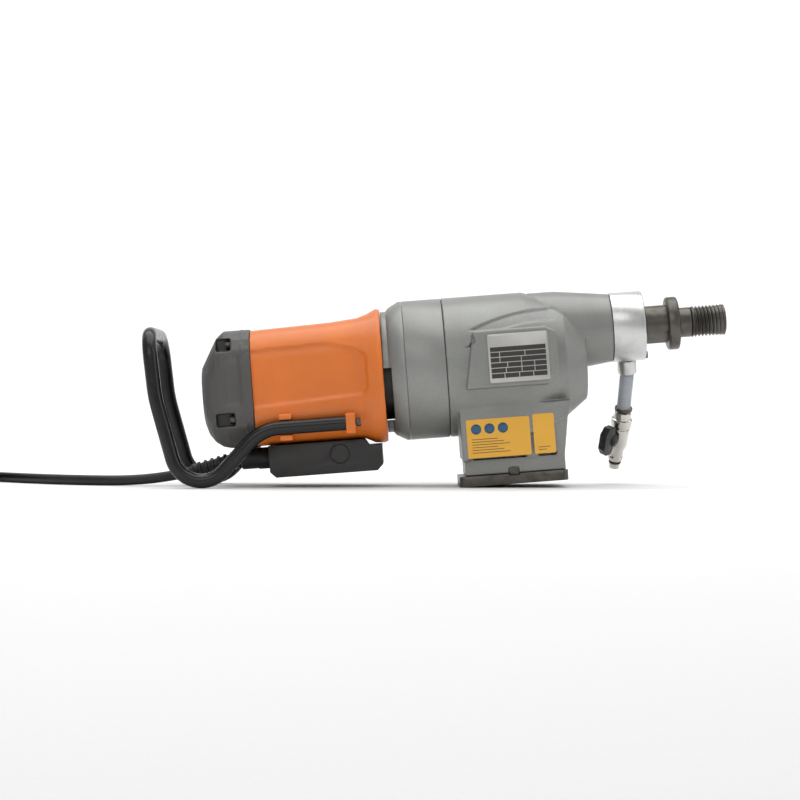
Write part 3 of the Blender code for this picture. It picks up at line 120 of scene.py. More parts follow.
# Mains lead: out of the strain relief, along the floor and into a coil with its plug on top.
lead = {
    "radius": 0.00525,
    "clear": 0.0001,  # between the lead and the floor
    "layer": 0.0107,  # height of one layer of turns
    "apart": 0.0112,  # between turns of one layer
    "coilAt": Vector((-0.5762, 0.1007, 0)),
    "middle": 0.058,  # radius of the middle of the band of turns
    "layers": 4,
    "turns": 2,  # in each layer, with one more turn on top
    "begin": math.radians(36),  # where the lead meets the coil
    "stride": math.radians(5),  # from point to point along a turn
    "climb": math.radians(92.7),  # part of a turn spent rising to the next layer
    "meet": (0.7, 0.35, 0.12),  # points between the route's end and the coil
    "plugFrom": math.radians(46.8),
    "plugArc": 0.045,
    "plugPoints": (5, 24),  # points on the last straight, and on the arc
    "plugAt": Vector((-0.058, 0.030, 0.0728)),
    "route": [(-0.2743, 0, 0.0153), (-0.2860, 0, 0.0125), (-0.2990, 0, 0.0101), (-0.3130, 0.0002, 0.0081),
              (-0.3280, 0.0010, 0.0066), (-0.3450, 0.0030, 0.0057), (-0.3620, 0.0065, 0.0054),
              (-0.3790, 0.0120, 0.0054), (-0.3960, 0.0200, 0.0054), (-0.4130, 0.0308, 0.0054),
              (-0.4290, 0.0434, 0.0054), (-0.4440, 0.0570, 0.0054), (-0.4585, 0.0712, 0.0054),
              (-0.4725, 0.0856, 0.0054)],
}


def ease(t):
    t = min(max(t, 0.0), 1.0)
    return t * t * (3 - 2 * t)


def throughPoints(points, pieces=4):
    points = [Vector(p) for p in points]
    points = [2 * points[0] - points[1]] + points + [2 * points[-1] - points[-2]]
    made = []
    for a, b, c, d in zip(points, points[1:], points[2:], points[3:]):
        for i in range(pieces):
            t = i / pieces
            first = 2 * b + (c - a) * t + (2 * a - 5 * b + 4 * c - d) * t ** 2
            made.append(0.5 * (first + (3 * b - a - 3 * c + d) * t ** 3))
    return made + [points[-2]]


def leadPath():
    stride = lead["stride"]
    reach = lead["apart"] * lead["turns"] / 2
    inner, outer = lead["middle"] - reach, lead["middle"] + reach
    angle, height = lead["begin"], lead["radius"] + lead["clear"]
    start = lead["coilAt"] + Vector((outer * math.cos(angle), outer * math.sin(angle), height))
    routeEnd = Vector((*lead["route"][-1][:2], height))
    route = lead["route"] + [start.lerp(routeEnd, t) for t in lead["meet"]]
    turns = []
    for layer in range(lead["layers"] + 1):
        last = layer == lead["layers"]
        sweep = 2 * math.pi * (1 if last else lead["turns"])
        inward = layer % 2 == 0
        for i in range(round(sweep / stride)):
            part = i * stride / (2 * math.pi) * lead["apart"]
            turns.append((outer - part if inward else inner + part, angle + i * stride, height))
        angle += sweep
        if not last:
            for i in range(round(lead["climb"] / stride)):
                rise = lead["layer"] * ease(i * stride / lead["climb"])
                turns.append((inner if inward else outer, angle + i * stride, height + rise))
            angle += lead["climb"]
            height += lead["layer"]
    path = list(route)
    for r, a, z in turns:
        path.append(lead["coilAt"] + Vector((r * math.cos(a), r * math.sin(a), z)))
    # A short straight and one arc bring the end round to the plug, rising onto the coil. It is
    # level again two points before the plug.
    leave = path[-1]
    middle = lead["coilAt"] + Vector((lead["plugAt"].x + lead["plugArc"], lead["plugAt"].y, 0))
    begin = lead["plugFrom"]
    straight, count = lead["plugPoints"]
    arcStart = middle + lead["plugArc"] * Vector((math.cos(begin), math.sin(begin), 0))
    for i in range(1, straight + count + 1):
        turn = begin + (math.pi - begin) * max(i - straight, 0) / count
        point = middle + lead["plugArc"] * Vector((math.cos(turn), math.sin(turn), 0))
        if i <= straight:
            point = Vector((leave.x, leave.y, 0)).lerp(arcStart, i / (straight + 1))
        point.z = leave.z + (lead["plugAt"].z - leave.z) * ease(i / (straight + count - 2))
        path.append(point)
    return throughPoints(route, 4)[:-4] + throughPoints(path[len(route) - 1:], 1)


# Round tubes of one radius along lists of points.
def curveTube(name, lines, radius, resolution=6, closed=False):
    data = bpy.data.curves.new(name, "CURVE")
    data.dimensions = "3D"
    data.bevel_depth = radius
    data.bevel_resolution = resolution
    data.use_fill_caps = True
    for line in lines:
        spline = data.splines.new("POLY")
        spline.points.add(len(line) - 1)
        for point, at in zip(spline.points, line):
            point.co = (*at, 1)
        spline.use_cyclic_u = closed
        spline.use_smooth = True
    made = bpy.data.objects.new(name, data)
    bpy.context.scene.collection.objects.link(made)
    return made


# Gives a piece its finish, its place, the body it moves with and the nodes it stands for.
def settle(made, material, matrix, body, slotName, *replaced):
    made.data.materials.clear()
    made.data.materials.append(material)
    made.matrix_world = matrix
    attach(made, body)
    if replaced:
        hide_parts(*replaced)
    return made


def meshPiece(name, verts, faces, smooth=True):
    data = bpy.data.meshes.new(name)
    data.from_pydata([tuple(v) for v in verts], [], faces)
    data.validate()
    shape = bmesh.new()
    shape.from_mesh(data)
    bmesh.ops.recalc_face_normals(shape, faces=shape.faces)
    shape.to_mesh(data)
    shape.free()
    data.polygons.foreach_set("use_smooth", [smooth] * len(data.polygons))
    made = bpy.data.objects.new(name, data)
    bpy.context.scene.collection.objects.link(made)
    return made


def softEdges(made, width, angle=32, segments=2):
    bevel = made.modifiers.new("softEdges", "BEVEL")
    bevel.width = width
    bevel.segments = segments
    bevel.limit_method = "ANGLE"
    bevel.angle_limit = math.radians(angle)
    bevel.harden_normals = True
    return made


# A round piece about x from (x, radius) pairs. shaped(x, angle, radius) may change each point.
def lathe(name, outline, sides=96, shaped=None):
    verts, rings = [], []
    for x, radius in outline:
        if radius == 0:
            verts.append((x, 0, 0))
            rings.append([len(verts) - 1] * sides)
            continue
        ring = []
        for i in range(sides):
            angle = 2 * math.pi * i / sides
            r = shaped(x, angle, radius) if shaped else radius
            ring.append(len(verts))
            verts.append((x, r * math.cos(angle), r * math.sin(angle)))
        rings.append(ring)
    faces = []
    closedLoop = outline[0][1] != 0
    pairs = list(zip(rings, rings[1:]))
    if closedLoop:
        pairs.append((rings[-1], rings[0]))
    for first, second in pairs:
        for i in range(sides):
            j = (i + 1) % sides
            corners = [first[i], first[j], second[j], second[i]]
            corners = [c for k, c in enumerate(corners) if c not in corners[:k]]
            if len(corners) > 2:
                faces.append(corners)
    return meshPiece(name, verts, faces)


# An outline of (x, z) points given a thickness in y.
def slab(name, outline, low, high):
    count = len(outline)
    verts = [(x, low, z) for x, z in outline] + [(x, high, z) for x, z in outline]
    faces = [list(range(count)), list(range(2 * count - 1, count - 1, -1))]
    faces += [[i, (i + 1) % count, (i + 1) % count + count, i + count] for i in range(count)]
    return meshPiece(name, verts, faces, smooth=False)


# One piece made of boxes, each from its low corner to its high corner.
def blocks(name, boxes):
    shape = bmesh.new()
    for low, high in boxes:
        size = [b - a for a, b in zip(low, high)]
        middle = [(a + b) / 2 for a, b in zip(low, high)]
        place = Matrix.Translation(middle) @ Matrix.Diagonal((*size, 1))
        bmesh.ops.create_cube(shape, size=1, matrix=place)
    data = bpy.data.meshes.new(name)
    shape.to_mesh(data)
    shape.free()
    made = bpy.data.objects.new(name, data)
    bpy.context.scene.collection.objects.link(made)
    return made


def roundedOutline(left, low, right, high, radius, steps=6):
    made = []
    for x, z, start in ((right - radius, low + radius, -90), (right - radius, high - radius, 0),
                        (left + radius, high - radius, 90), (left + radius, low + radius, 180)):
        for i in range(steps + 1):
            angle = math.radians(start + 90 * i / steps)
            made.append((x + radius * math.cos(angle), z + radius * math.sin(angle)))
    return made


# Glass-filled nylon, injection moulded: an even satin skin over a fine spark-eroded grain, with
# paler edges that are partly handled scuffs and partly a painted highlight. Real grain of 0.2 mm is drawn at
# 0.9 mm so that it shows.
def mouldedNylon(name, colour, edgeWearAndHighlight, roughness, grainMm=0.9, grainDepth=0.00004):
    made, tree, shader, place = newMaterial(name)
    cloud = node(tree, "ShaderNodeTexNoise", {"Vector": place, "Scale": perMetre(38), "Detail": 3})
    grain = node(tree, "ShaderNodeTexNoise", {"Vector": place, "Scale": perMetre(grainMm), "Detail": 2})
    tone = node(tree, "ShaderNodeValToRGB", {"Fac": cloud.outputs["Fac"]})
    tone.color_ramp.elements[0].position = 0.30
    tone.color_ramp.elements[1].position = 0.72
    tone.color_ramp.elements[0].color = [c * 0.93 for c in linear(colour)[:3]] + [1]
    tone.color_ramp.elements[1].color = [min(c * 1.05, 1) for c in linear(colour)[:3]] + [1]
    shape = node(tree, "ShaderNodeNewGeometry", {})
    # Convex edges are lightened towards the paler colour: partly rubbed wear, partly a painted highlight.
    rim = node(tree, "ShaderNodeMapRange", {
        "Value": shape.outputs["Pointiness"], "From Min": 0.54, "From Max": 0.64, "To Max": 0.35})
    scuff = node(tree, "ShaderNodeTexNoise", {"Vector": place, "Scale": perMetre(6), "Detail": 4})
    edgeWearAndHighlightMask = node(tree, "ShaderNodeMath", {0: rim.outputs[0], 1: scuff.outputs["Fac"]}, operation="MULTIPLY")
    mixed = node(tree, "ShaderNodeMix", {
        "Factor": edgeWearAndHighlightMask.outputs[0], "A": tone.outputs[0], "B": linear(edgeWearAndHighlight)}, data_type="RGBA")
    gloss = node(tree, "ShaderNodeMapRange", {
        "Value": scuff.outputs["Fac"], "From Min": 0.3, "From Max": 0.7, "To Min": roughness - 0.05,
        "To Max": roughness + 0.06})
    bump = node(tree, "ShaderNodeBump", {
        "Height": grain.outputs["Fac"], "Distance": grainDepth, "Strength": 0.8})
    feed(tree, shader, {
        "Base Color": mixed.outputs["Result"], "Roughness": gloss.outputs[0], "Normal": bump.outputs[0],
        "IOR": 1.53})
    return made


orangeNylon = mouldedNylon("orangeNylon", "#D56F22", "#E89A66", 0.38)
greyNylon = mouldedNylon("darkGreyNylon", "#4A4947", "#6E6C69", 0.50, 1.1, 0.00006)
blackNylon = mouldedNylon("blackNylon", "#1C1B1A", "#3A3937", 0.44)


# Aluminium die casting in silver paint: soft sheen from the flake, faint orange peel of 2 mm and
# a cast swirl under it, and paler corners that are partly rubbed bright metal and partly a painted highlight.
def paintedCasting():
    made, tree, shader, place = newMaterial("silverPaintedCasting")
    cloud = node(tree, "ShaderNodeTexNoise", {"Vector": place, "Scale": perMetre(55), "Detail": 4})
    # The real flake is 0.05 mm, and is drawn at 0.7 mm so that it shows.
    flake = node(tree, "ShaderNodeTexVoronoi", {"Vector": place, "Scale": perMetre(0.7)})
    tone = node(tree, "ShaderNodeValToRGB", {"Fac": cloud.outputs["Fac"]})
    tone.color_ramp.elements[0].position = 0.3
    tone.color_ramp.elements[1].position = 0.7
    tone.color_ramp.elements[0].color = linear("#7E7F7C")
    tone.color_ramp.elements[1].color = linear("#8A8B88")
    spark = node(tree, "ShaderNodeMix", {
        "Factor": 0.10, "A": tone.outputs[0], "B": flake.outputs["Color"]}, data_type="RGBA",
        blend_type="OVERLAY")
    shape = node(tree, "ShaderNodeNewGeometry", {})
    # Convex corners are lightened towards bright metal: partly rubbed wear, partly a painted highlight.
    rim = node(tree, "ShaderNodeMapRange", {
        "Value": shape.outputs["Pointiness"], "From Min": 0.55, "From Max": 0.66, "To Max": 0.5})
    mixed = node(tree, "ShaderNodeMix", {
        "Factor": rim.outputs[0], "A": spark.outputs["Result"], "B": linear("#C9CAC8")}, data_type="RGBA")
    peel = node(tree, "ShaderNodeTexNoise", {"Vector": place, "Scale": perMetre(2), "Detail": 2})
    swirl = node(tree, "ShaderNodeTexNoise", {
        "Vector": place, "Scale": perMetre(14), "Detail": 5, "Distortion": 1.2})
    low = node(tree, "ShaderNodeBump", {"Height": swirl.outputs["Fac"], "Distance": 0.0003, "Strength": 0.25})
    bump = node(tree, "ShaderNodeBump", {
        "Height": peel.outputs["Fac"], "Distance": 0.00005, "Strength": 0.7, "Normal": low.outputs[0]})
    gloss = node(tree, "ShaderNodeMapRange", {
        "Value": flake.outputs["Distance"], "To Min": 0.36, "To Max": 0.50})
    feed(tree, shader, {
        "Base Color": mixed.outputs["Result"], "Normal": bump.outputs[0], "Roughness": gloss.outputs[0],
        "Metallic": 0.45, "IOR": 1.5})
    return made


silverCasting = paintedCasting()


# Bare metals as machined: a turned, ground or drawn surface shows as fine lines one way. The lines
# of 0.05 to 0.2 mm are drawn from 0.5 mm up so that they show.
def machinedMetal(name, colour, shade, roughness, lineMm, lineDepth, along=(1, 0.04, 0.04), stain=0.3):
    made, tree, shader, place = newMaterial(name)
    stretched = node(tree, "ShaderNodeVectorMath", {0: place, 1: along}, operation="MULTIPLY")
    lines = node(tree, "ShaderNodeTexNoise", {
        "Vector": stretched.outputs[0], "Scale": perMetre(lineMm), "Detail": 3})
    cloud = node(tree, "ShaderNodeTexNoise", {
        "Vector": place, "Scale": perMetre(12), "Detail": 5, "Distortion": 0.6})
    patch = node(tree, "ShaderNodeMapRange", {
        "Value": cloud.outputs["Fac"], "From Min": 0.45, "From Max": 0.75, "To Max": stain})
    mixed = node(tree, "ShaderNodeMix", {
        "Factor": patch.outputs[0], "A": linear(colour), "B": linear(shade)}, data_type="RGBA")
    streak = node(tree, "ShaderNodeMix", {
        "Factor": 0.12, "A": mixed.outputs["Result"], "B": lines.outputs["Color"]}, data_type="RGBA",
        blend_type="SOFT_LIGHT")
    gloss = node(tree, "ShaderNodeMapRange", {
        "Value": lines.outputs["Fac"], "From Min": 0.3, "From Max": 0.7, "To Min": roughness - 0.07,
        "To Max": roughness + 0.08})
    bump = node(tree, "ShaderNodeBump", {
        "Height": lines.outputs["Fac"], "Distance": lineDepth, "Strength": 0.5})
    feed(tree, shader, {
        "Base Color": streak.outputs["Result"], "Roughness": gloss.outputs[0], "Normal": bump.outputs[0],
        "Metallic": 1.0})
    return made


turnedAluminium = machinedMetal("turnedAluminium", "#C9C9C7", "#9FA09E", 0.34, 0.6, 0.00003)
blackenedSteel = machinedMetal("blackenedSteel", "#5E5B56", "#3D3B38", 0.38, 0.7, 0.00003, stain=0.7)
groundSteel = machinedMetal("groundSteel", "#A9A8A4", "#807E7A", 0.30, 0.5, 0.00002)
gearSteel = machinedMetal("caseHardenedSteel", "#77736D", "#4C4844", 0.36, 0.8, 0.00003, stain=0.6)
laminatedSteel = machinedMetal("laminatedSteel", "#7F7D7A", "#55524F", 0.45, 0.5, 0.00010, (1, 0.002, 0.002))
brushedCopper = machinedMetal("brushedCopper", "#C27A52", "#8E5336", 0.32, 0.5, 0.00002)
drawnBrass = machinedMetal("drawnBrass", "#C2A05A", "#93783F", 0.32, 0.6, 0.00002, (0.05, 1, 1))
nickelPlate = machinedMetal("nickelPlatedBrass", "#C6C3BC", "#A39F96", 0.20, 1.2, 0.00001, (1, 1, 1), 0.35)
# Carbon brushes, pressed and baked: dull and even like a moulding, with greyer edges that are partly rubbed
# and partly a painted highlight.
pressedCarbon = mouldedNylon("pressedCarbon", "#2A2A2B", "#3F3F41", 0.6, 0.6)


# Powder coat, sprayed and baked on steel tube: near black with a soft gloss and a 1.8 mm pebble.
def powderCoat():
    made, tree, shader, place = newMaterial("blackPowderCoat")
    pebble = node(tree, "ShaderNodeTexNoise", {"Vector": place, "Scale": perMetre(1.8), "Detail": 2})
    dust = node(tree, "ShaderNodeTexNoise", {"Vector": place, "Scale": perMetre(25), "Detail": 5})
    tone = node(tree, "ShaderNodeMix", {
        "Factor": dust.outputs["Fac"], "A": linear("#0C0B0B"), "B": linear("#151413")}, data_type="RGBA")
    gloss = node(tree, "ShaderNodeMapRange", {
        "Value": dust.outputs["Fac"], "From Min": 0.3, "From Max": 0.7, "To Min": 0.20, "To Max": 0.30})
    bump = node(tree, "ShaderNodeBump", {
        "Height": pebble.outputs["Fac"], "Distance": 0.00006, "Strength": 0.6})
    feed(tree, shader, {
        "Base Color": tone.outputs["Result"], "Roughness": gloss.outputs[0], "Normal": bump.outputs[0],
        "IOR": 1.5, "Specular IOR Level": 0.4})
    return made


# Neoprene rubber, extruded or moulded: dull black with a dusty bloom and a fine skin.
def neoprene(name, colour, dusty, roughness):
    made, tree, shader, place = newMaterial(name)
    bloom = node(tree, "ShaderNodeTexNoise", {"Vector": place, "Scale": perMetre(9), "Detail": 6})
    skin = node(tree, "ShaderNodeTexNoise", {"Vector": place, "Scale": perMetre(0.8), "Detail": 2})
    fade = node(tree, "ShaderNodeMapRange", {
        "Value": bloom.outputs["Fac"], "From Min": 0.4, "From Max": 0.8, "To Max": 0.6})
    tone = node(tree, "ShaderNodeMix", {
        "Factor": fade.outputs[0], "A": linear(colour), "B": linear(dusty)}, data_type="RGBA")
    gloss = node(tree, "ShaderNodeMapRange", {
        "Value": bloom.outputs["Fac"], "To Min": roughness - 0.06, "To Max": roughness + 0.08})
    bump = node(tree, "ShaderNodeBump", {"Height": skin.outputs["Fac"], "Distance": 0.00005, "Strength": 0.6})
    feed(tree, shader, {
        "Base Color": tone.outputs["Result"], "Roughness": gloss.outputs[0], "Normal": bump.outputs[0],
        "IOR": 1.52, "Specular IOR Level": 0.4})
    return made


# Plasticised PVC, extruded clear: the wall is a thin gloss skin that the braid shows through.
def clearVinyl():
    made, tree, shader, place = newMaterial("clearVinyl")
    haze = node(tree, "ShaderNodeTexNoise", {"Vector": place, "Scale": perMetre(7), "Detail": 3})
    seen = node(tree, "ShaderNodeMapRange", {"Value": haze.outputs["Fac"], "To Min": 0.22, "To Max": 0.36})
    tone = node(tree, "ShaderNodeMix", {
        "Factor": haze.outputs["Fac"], "A": linear("#DFE3E6"), "B": linear("#C9CFD6")}, data_type="RGBA")
    feed(tree, shader, {
        "Alpha": seen.outputs[0], "Base Color": tone.outputs["Result"], "Roughness": 0.12, "IOR": 1.53})
    return made


# Printed vinyl or anodised plate: flat ink with a faint 0.6 mm screen and a thin lacquer.
def printedSheet(name, colour, shade, roughness, metallic=0.0):
    made, tree, shader, place = newMaterial(name)
    screen = node(tree, "ShaderNodeTexNoise", {"Vector": place, "Scale": perMetre(0.6), "Detail": 1})
    cloud = node(tree, "ShaderNodeTexNoise", {"Vector": place, "Scale": perMetre(18), "Detail": 4})
    tone = node(tree, "ShaderNodeMix", {
        "Factor": cloud.outputs["Fac"], "A": linear(colour), "B": linear(shade)}, data_type="RGBA")
    bump = node(tree, "ShaderNodeBump", {
        "Height": screen.outputs["Fac"], "Distance": 0.00001, "Strength": 0.4})
    gloss = node(tree, "ShaderNodeMapRange", {
        "Value": cloud.outputs["Fac"], "To Min": roughness - 0.05, "To Max": roughness + 0.07})
    feed(tree, shader, {
        "Base Color": tone.outputs["Result"], "Roughness": gloss.outputs[0], "Normal": bump.outputs[0],
        "Metallic": metallic})
    return made


handleCoat = powderCoat()
blackRubber = neoprene("blackNeoprene", "#0F0F0F", "#1E1D1C", 0.42)
clearHose = clearVinyl()
# The braid's polyester, the hose's milky inner tube and the inks are flat and even too, so the
# same recipe serves for them.
yellowVinyl = printedSheet("yellowVinyl", "#E2AC3C", "#DCA235", 0.38)
darkPlate = printedSheet("darkPrintedAluminium", "#34322F", "#2B2927", 0.34)
plateLines = printedSheet("bareAluminiumPrint", "#B9B8B4", "#A7A6A2", 0.35, 0.6)
braidThread = printedSheet("polyesterBraid", "#6C6F86", "#565A74", 0.6)
innerTube = printedSheet("milkyInnerTube", "#B8BCC2", "#9CA2AC", 0.4)
# Button caps of ABS, moulded glossier than the nylon.
greenPlastic = mouldedNylon("greenAbs", "#2E8B4A", "#5BB174", 0.35)
redPlastic = mouldedNylon("redAbs", "#B3261E", "#D4645C", 0.35)
whiteInk = printedSheet("whiteInk", "#E3E1DB", "#D5D3CC", 0.45)
greyInk = printedSheet("greyInk", "#6B5B33", "#5E502D", 0.45)
blueInk = printedSheet("blueInk", "#2E5C7E", "#28506E", 0.4)

finishes = {
    "orange_nylon": orangeNylon, "dark_grey_nylon": greyNylon, "silver_casting": silverCasting,
    "machined_aluminium": turnedAluminium, "ground_steel": groundSteel, "blackened_steel": blackenedSteel,
    "gear_steel": gearSteel, "laminations": laminatedSteel, "commutator_copper": brushedCopper,
    "brass": drawnBrass, "nickel": nickelPlate, "carbon": pressedCarbon, "handle_coating": handleCoat,
    "black_nylon": blackNylon, "black_rubber": blackRubber, "clear_hose": clearHose, "plate_print": darkPlate,
    "green_plastic": greenPlastic, "red_plastic": redPlastic,
}
print("materials made")


# Carried pieces keep their shape and get softened edges and a finish.
carried = {
    "edge": 0.00035,
    "fineEdge": 0.00012,  # on thin and small pieces
    "fine": ("rating_plate", "carbon_brush_left", "carbon_brush_right", "hose_clamp", "shift_rail"),
    "weld": 0.00001,
}
for name, made in nodes.items():
    slotName = made.data.materials[0].name.split(".")[0]
    made.data.materials[0] = blackenedSteel if name.startswith("cap_screw") else finishes[slotName]
    made.data.polygons.foreach_set("use_smooth", [True] * len(made.data.polygons))
    weld = made.modifiers.new("weld", "WELD")
    weld.merge_threshold = carried["weld"]
    softEdges(made, carried["fineEdge"] if name in carried["fine"] else carried["edge"])
print("carried pieces finished")

# The lead replaces both its straight run and its coil, and the plug lies on top of the coil.
path = [edge + point for point in leadPath()]
cord = curveTube("powerLead", [path], lead["radius"], 6)
settle(cord, blackRubber, Matrix(), "housing", "black_rubber", "power_cord", "cord_coil")

plug = {
    "body": [(0, 0), (0, 0.0066), (0.0020, 0.0072), (0.0040, 0.0066), (0.0060, 0.0076), (0.0080, 0.0069),
             (0.0100, 0.0082), (0.0120, 0.0088), (0.0165, 0.0122), (0.0200, 0.0150), (0.0235, 0.0172),
             (0.0280, 0.0183), (0.0300, 0.0176), (0.0320, 0.0183), (0.0340, 0.0176), (0.0360, 0.0183),
             (0.0380, 0.0176), (0.0400, 0.0185), (0.0520, 0.0185), (0.0530, 0.0175), (0.0530, 0)],
    "pin": [(0.0525, 0), (0.0525, 0.0024), (0.0708, 0.0024), (0.0720, 0.0013), (0.0720, 0)],
    "pinsApart": 0.019,
    "pinEdge": 0.0003,
}
plugPlace = Matrix.Translation(edge + lead["coilAt"] + lead["plugAt"])
plugPlace = plugPlace @ Matrix.Rotation(-math.pi / 2, 4, "Z")
plugBody = settle(lathe("plugBody", plug["body"]), blackRubber, plugPlace, "housing", "black_rubber",
                  "power_plug")
for side in (-1, 1):
    pin = lathe("plugPin" + ("Left" if side < 0 else "Right"), plug["pin"], 32)
    place = plugPlace @ Matrix.Translation((0, side * plug["pinsApart"] / 2, 0))
    settle(softEdges(pin, plug["pinEdge"]), nickelPlate, place, "housing", "nickel")


# Castings and mouldings: the carried shape is rebuilt as an even fine skin, so that its corners
# round over as a mould's do, and then true rounds and pressed detail are worked into the skin.
shellLook = {"relax": 0.5, "passes": 2}


def denseShell(name, fineness, rounds, work, material, slotName):
    source = nodes[name]
    data = source.data.copy()
    data.transform(level.inverted())
    made = bpy.data.objects.new(name + "Shell", data)
    bpy.context.scene.collection.objects.link(made)
    weld = made.modifiers.new("weld", "WELD")
    weld.merge_threshold = carried["weld"]
    skin = made.modifiers.new("skin", "REMESH")
    skin.mode = "VOXEL"
    skin.voxel_size = fineness
    skin.use_smooth_shade = True
    relax = made.modifiers.new("relax", "SMOOTH")
    relax.factor = shellLook["relax"]
    relax.iterations = shellLook["passes"]
    graph = bpy.context.evaluated_depsgraph_get()
    fine = bpy.data.meshes.new_from_object(made.evaluated_get(graph))
    made.modifiers.clear()
    made.data = fine
    count = len(fine.vertices)
    at, out = np.empty(count * 3), np.empty(count * 3)
    fine.vertices.foreach_get("co", at)
    fine.vertices.foreach_get("normal", out)
    at, out = at.reshape(-1, 3), out.reshape(-1, 3)
    for trueUp in rounds:
        at = trueUp(at, out)
    at = work(at, out)
    fine.vertices.foreach_set("co", at.reshape(-1))
    fine.update()
    fine.polygons.foreach_set("use_smooth", [True] * len(fine.polygons))
    print(name, "skin has", len(fine.polygons), "faces")
    return settle(made, material, level, "housing", slotName, name)


# 0 below low, 1 above high, and a smooth rise between them.
def step(value, low, high):
    t = np.clip((value - low) / (high - low), 0, 1)
    return t * t * (3 - 2 * t)


# 1 between low and high, falling off over slope at each end.
def inside(value, low, high, slope):
    rise = step(value, low - slope / 2, low + slope / 2)
    return rise * (1 - step(value, high - slope / 2, high + slope / 2))


# Draws points that lie nearly on a surface of revolution onto it. profile is (x, radius) pairs.
def roundTo(profile, height, within=0.0006):
    xs, radii = zip(*profile)

    def trueUp(at, out):
        away = at[:, 1:] - np.array([0, height])
        far = np.hypot(away[:, 0], away[:, 1])
        wanted = np.interp(at[:, 0], xs, radii, left=-1, right=-1)
        facing = (away * out[:, 1:]).sum(1) / np.maximum(far, 1e-6)
        near = (np.abs(far - wanted) < within) & (facing > 0.6)
        scale = np.where(near, wanted / np.maximum(far, 1e-6), 1)
        made = at.copy()
        made[:, 1:] = np.array([0, height]) + away * scale[:, None]
        return made

    return trueUp


# The same for a moulding whose section is a rounded rectangle that changes along x.
def sectionTo(sections, within=0.0016):
    xs, halves, lows, highs, corners = (np.array(column) for column in zip(*sections))

    def trueUp(at, out):
        half, low = np.interp(at[:, 0], xs, halves), np.interp(at[:, 0], xs, lows)
        high, corner = np.interp(at[:, 0], xs, highs), np.interp(at[:, 0], xs, corners)
        middle, tall = (low + high) / 2, (high - low) / 2
        y, z = at[:, 1], at[:, 2] - middle
        overY, overZ = np.abs(y) - (half - corner), np.abs(z) - (tall - corner)
        bend = (overY > 0) & (overZ > 0)
        far = np.hypot(overY, overZ) - corner
        near = bend & (np.abs(far) < within) & (at[:, 0] > xs[0]) & (at[:, 0] < xs[-1])
        scale = np.where(near, corner / np.maximum(far + corner, 1e-6), 1)
        made = at.copy()
        made[:, 1] = np.where(near, np.sign(y) * (half - corner + overY * scale), y)
        made[:, 2] = np.where(near, middle + np.sign(z) * (tall - corner + overZ * scale), at[:, 2])
        return made

    return trueUp


# Motor housing: a panel pressed into each side between a top and a bottom band, and a shallow
# flute along the crown.
motorLook = {
    "fineness": 0.0012,
    "panelX": (-0.2050, -0.0850), "panelDepth": 0.0031, "slope": 0.0042,
    "panelOut": 0.0548,  # skin nearer the middle than this isn't pressed
    "topEdge": ((-0.1955, 0.1546), (-0.1250, 0.1552), (-0.0980, 0.1490), (-0.0835, 0.1400)),
    "bottomEdge": ((-0.1955, 0.0966), (-0.0900, 0.1026), (-0.0835, 0.1080)),
    # x, half width, low, high and corner of each section
    "sections": [(-.201, .0575, .0566, .1745, .034), (-.120, .0575, .0566, .177, .034),
                 (-.092, .058, .0566, .1795, .036), (-.082, .0615, .0515, .183, .046),
                 (-.0724, .0655, .0505, .188, .056), (-.0685, .0643, .0520, .1868, .056)],
    "fluteX": (-0.190, -0.100), "fluteY": (-0.020, 0.020), "fluteAbove": 0.170, "fluteDepth": 0.0012,
}


def workMotor(at, out):
    x, z = at[:, 0], at[:, 2]
    top = np.interp(x, *zip(*motorLook["topEdge"]))
    bottom = np.interp(x, *zip(*motorLook["bottomEdge"]))
    slope = motorLook["slope"]
    side = np.sign(at[:, 1])
    outer = (np.abs(at[:, 1]) > motorLook["panelOut"]) & (out[:, 1] * side > 0.5)
    mask = inside(z, bottom, top, slope) * inside(x, *motorLook["panelX"], slope)
    at[:, 1] -= side * outer * mask * motorLook["panelDepth"]
    flute = inside(x, *motorLook["fluteX"], 0.008) * inside(at[:, 1], *motorLook["fluteY"], 0.006)
    upper = (out[:, 2] > 0.8) & (z > motorLook["fluteAbove"])
    at[:, 2] -= flute * upper * motorLook["fluteDepth"]
    return at


denseShell("motor_housing", motorLook["fineness"], [sectionTo(motorLook["sections"])], workMotor,
           orangeNylon, "orange_nylon")


# Rear cap: a shallow panel pressed into each side, and a fine ridge round it near the front.
capLook = {
    "fineness": 0.0012,
    "sections": [(-.252, .0540, .0600, .1710, .034), (-.2013, .0575, .0566, .1745, .034)],
    "within": 0.0005,  # only the skin this near a section is drawn onto it
    "panelX": (-0.2285, -0.2130), "panelZ": (0.1010, 0.1500), "panelDepth": 0.0016,
    "slopeX": 0.0030, "slopeZ": 0.005,
    "outside": 0.050, "top": 0.168, "bottom": 0.062,  # the ridge is on the skin past these
    "ridgeX": -0.2096, "ridgeHigh": 0.0007, "ridgeWide": 0.0011, "middleZ": 0.1160,
}


def workCap(at, out):
    side = np.sign(at[:, 1])
    outer = (np.abs(at[:, 1]) > capLook["outside"]) & (out[:, 1] * side > 0.6)
    mask = inside(at[:, 0], *capLook["panelX"], capLook["slopeX"])
    mask *= inside(at[:, 2], *capLook["panelZ"], capLook["slopeZ"])
    at[:, 1] -= side * outer * mask * capLook["panelDepth"]
    ridge = np.exp(-((at[:, 0] - capLook["ridgeX"]) / capLook["ridgeWide"]) ** 2)
    away = at - np.array([0, 0, capLook["middleZ"]])
    skin = np.abs(at[:, 1]) > capLook["outside"]
    skin |= (at[:, 2] > capLook["top"]) | (at[:, 2] < capLook["bottom"])
    facing = (away[:, 1:] * out[:, 1:]).sum(1) > 0
    at[:, 1:] += out[:, 1:] * (ridge * skin * facing * capLook["ridgeHigh"])[:, None]
    return at


denseShell("rear_cap", capLook["fineness"], [sectionTo(capLook["sections"], capLook["within"])], workCap,
           greyNylon, "dark_grey_nylon")


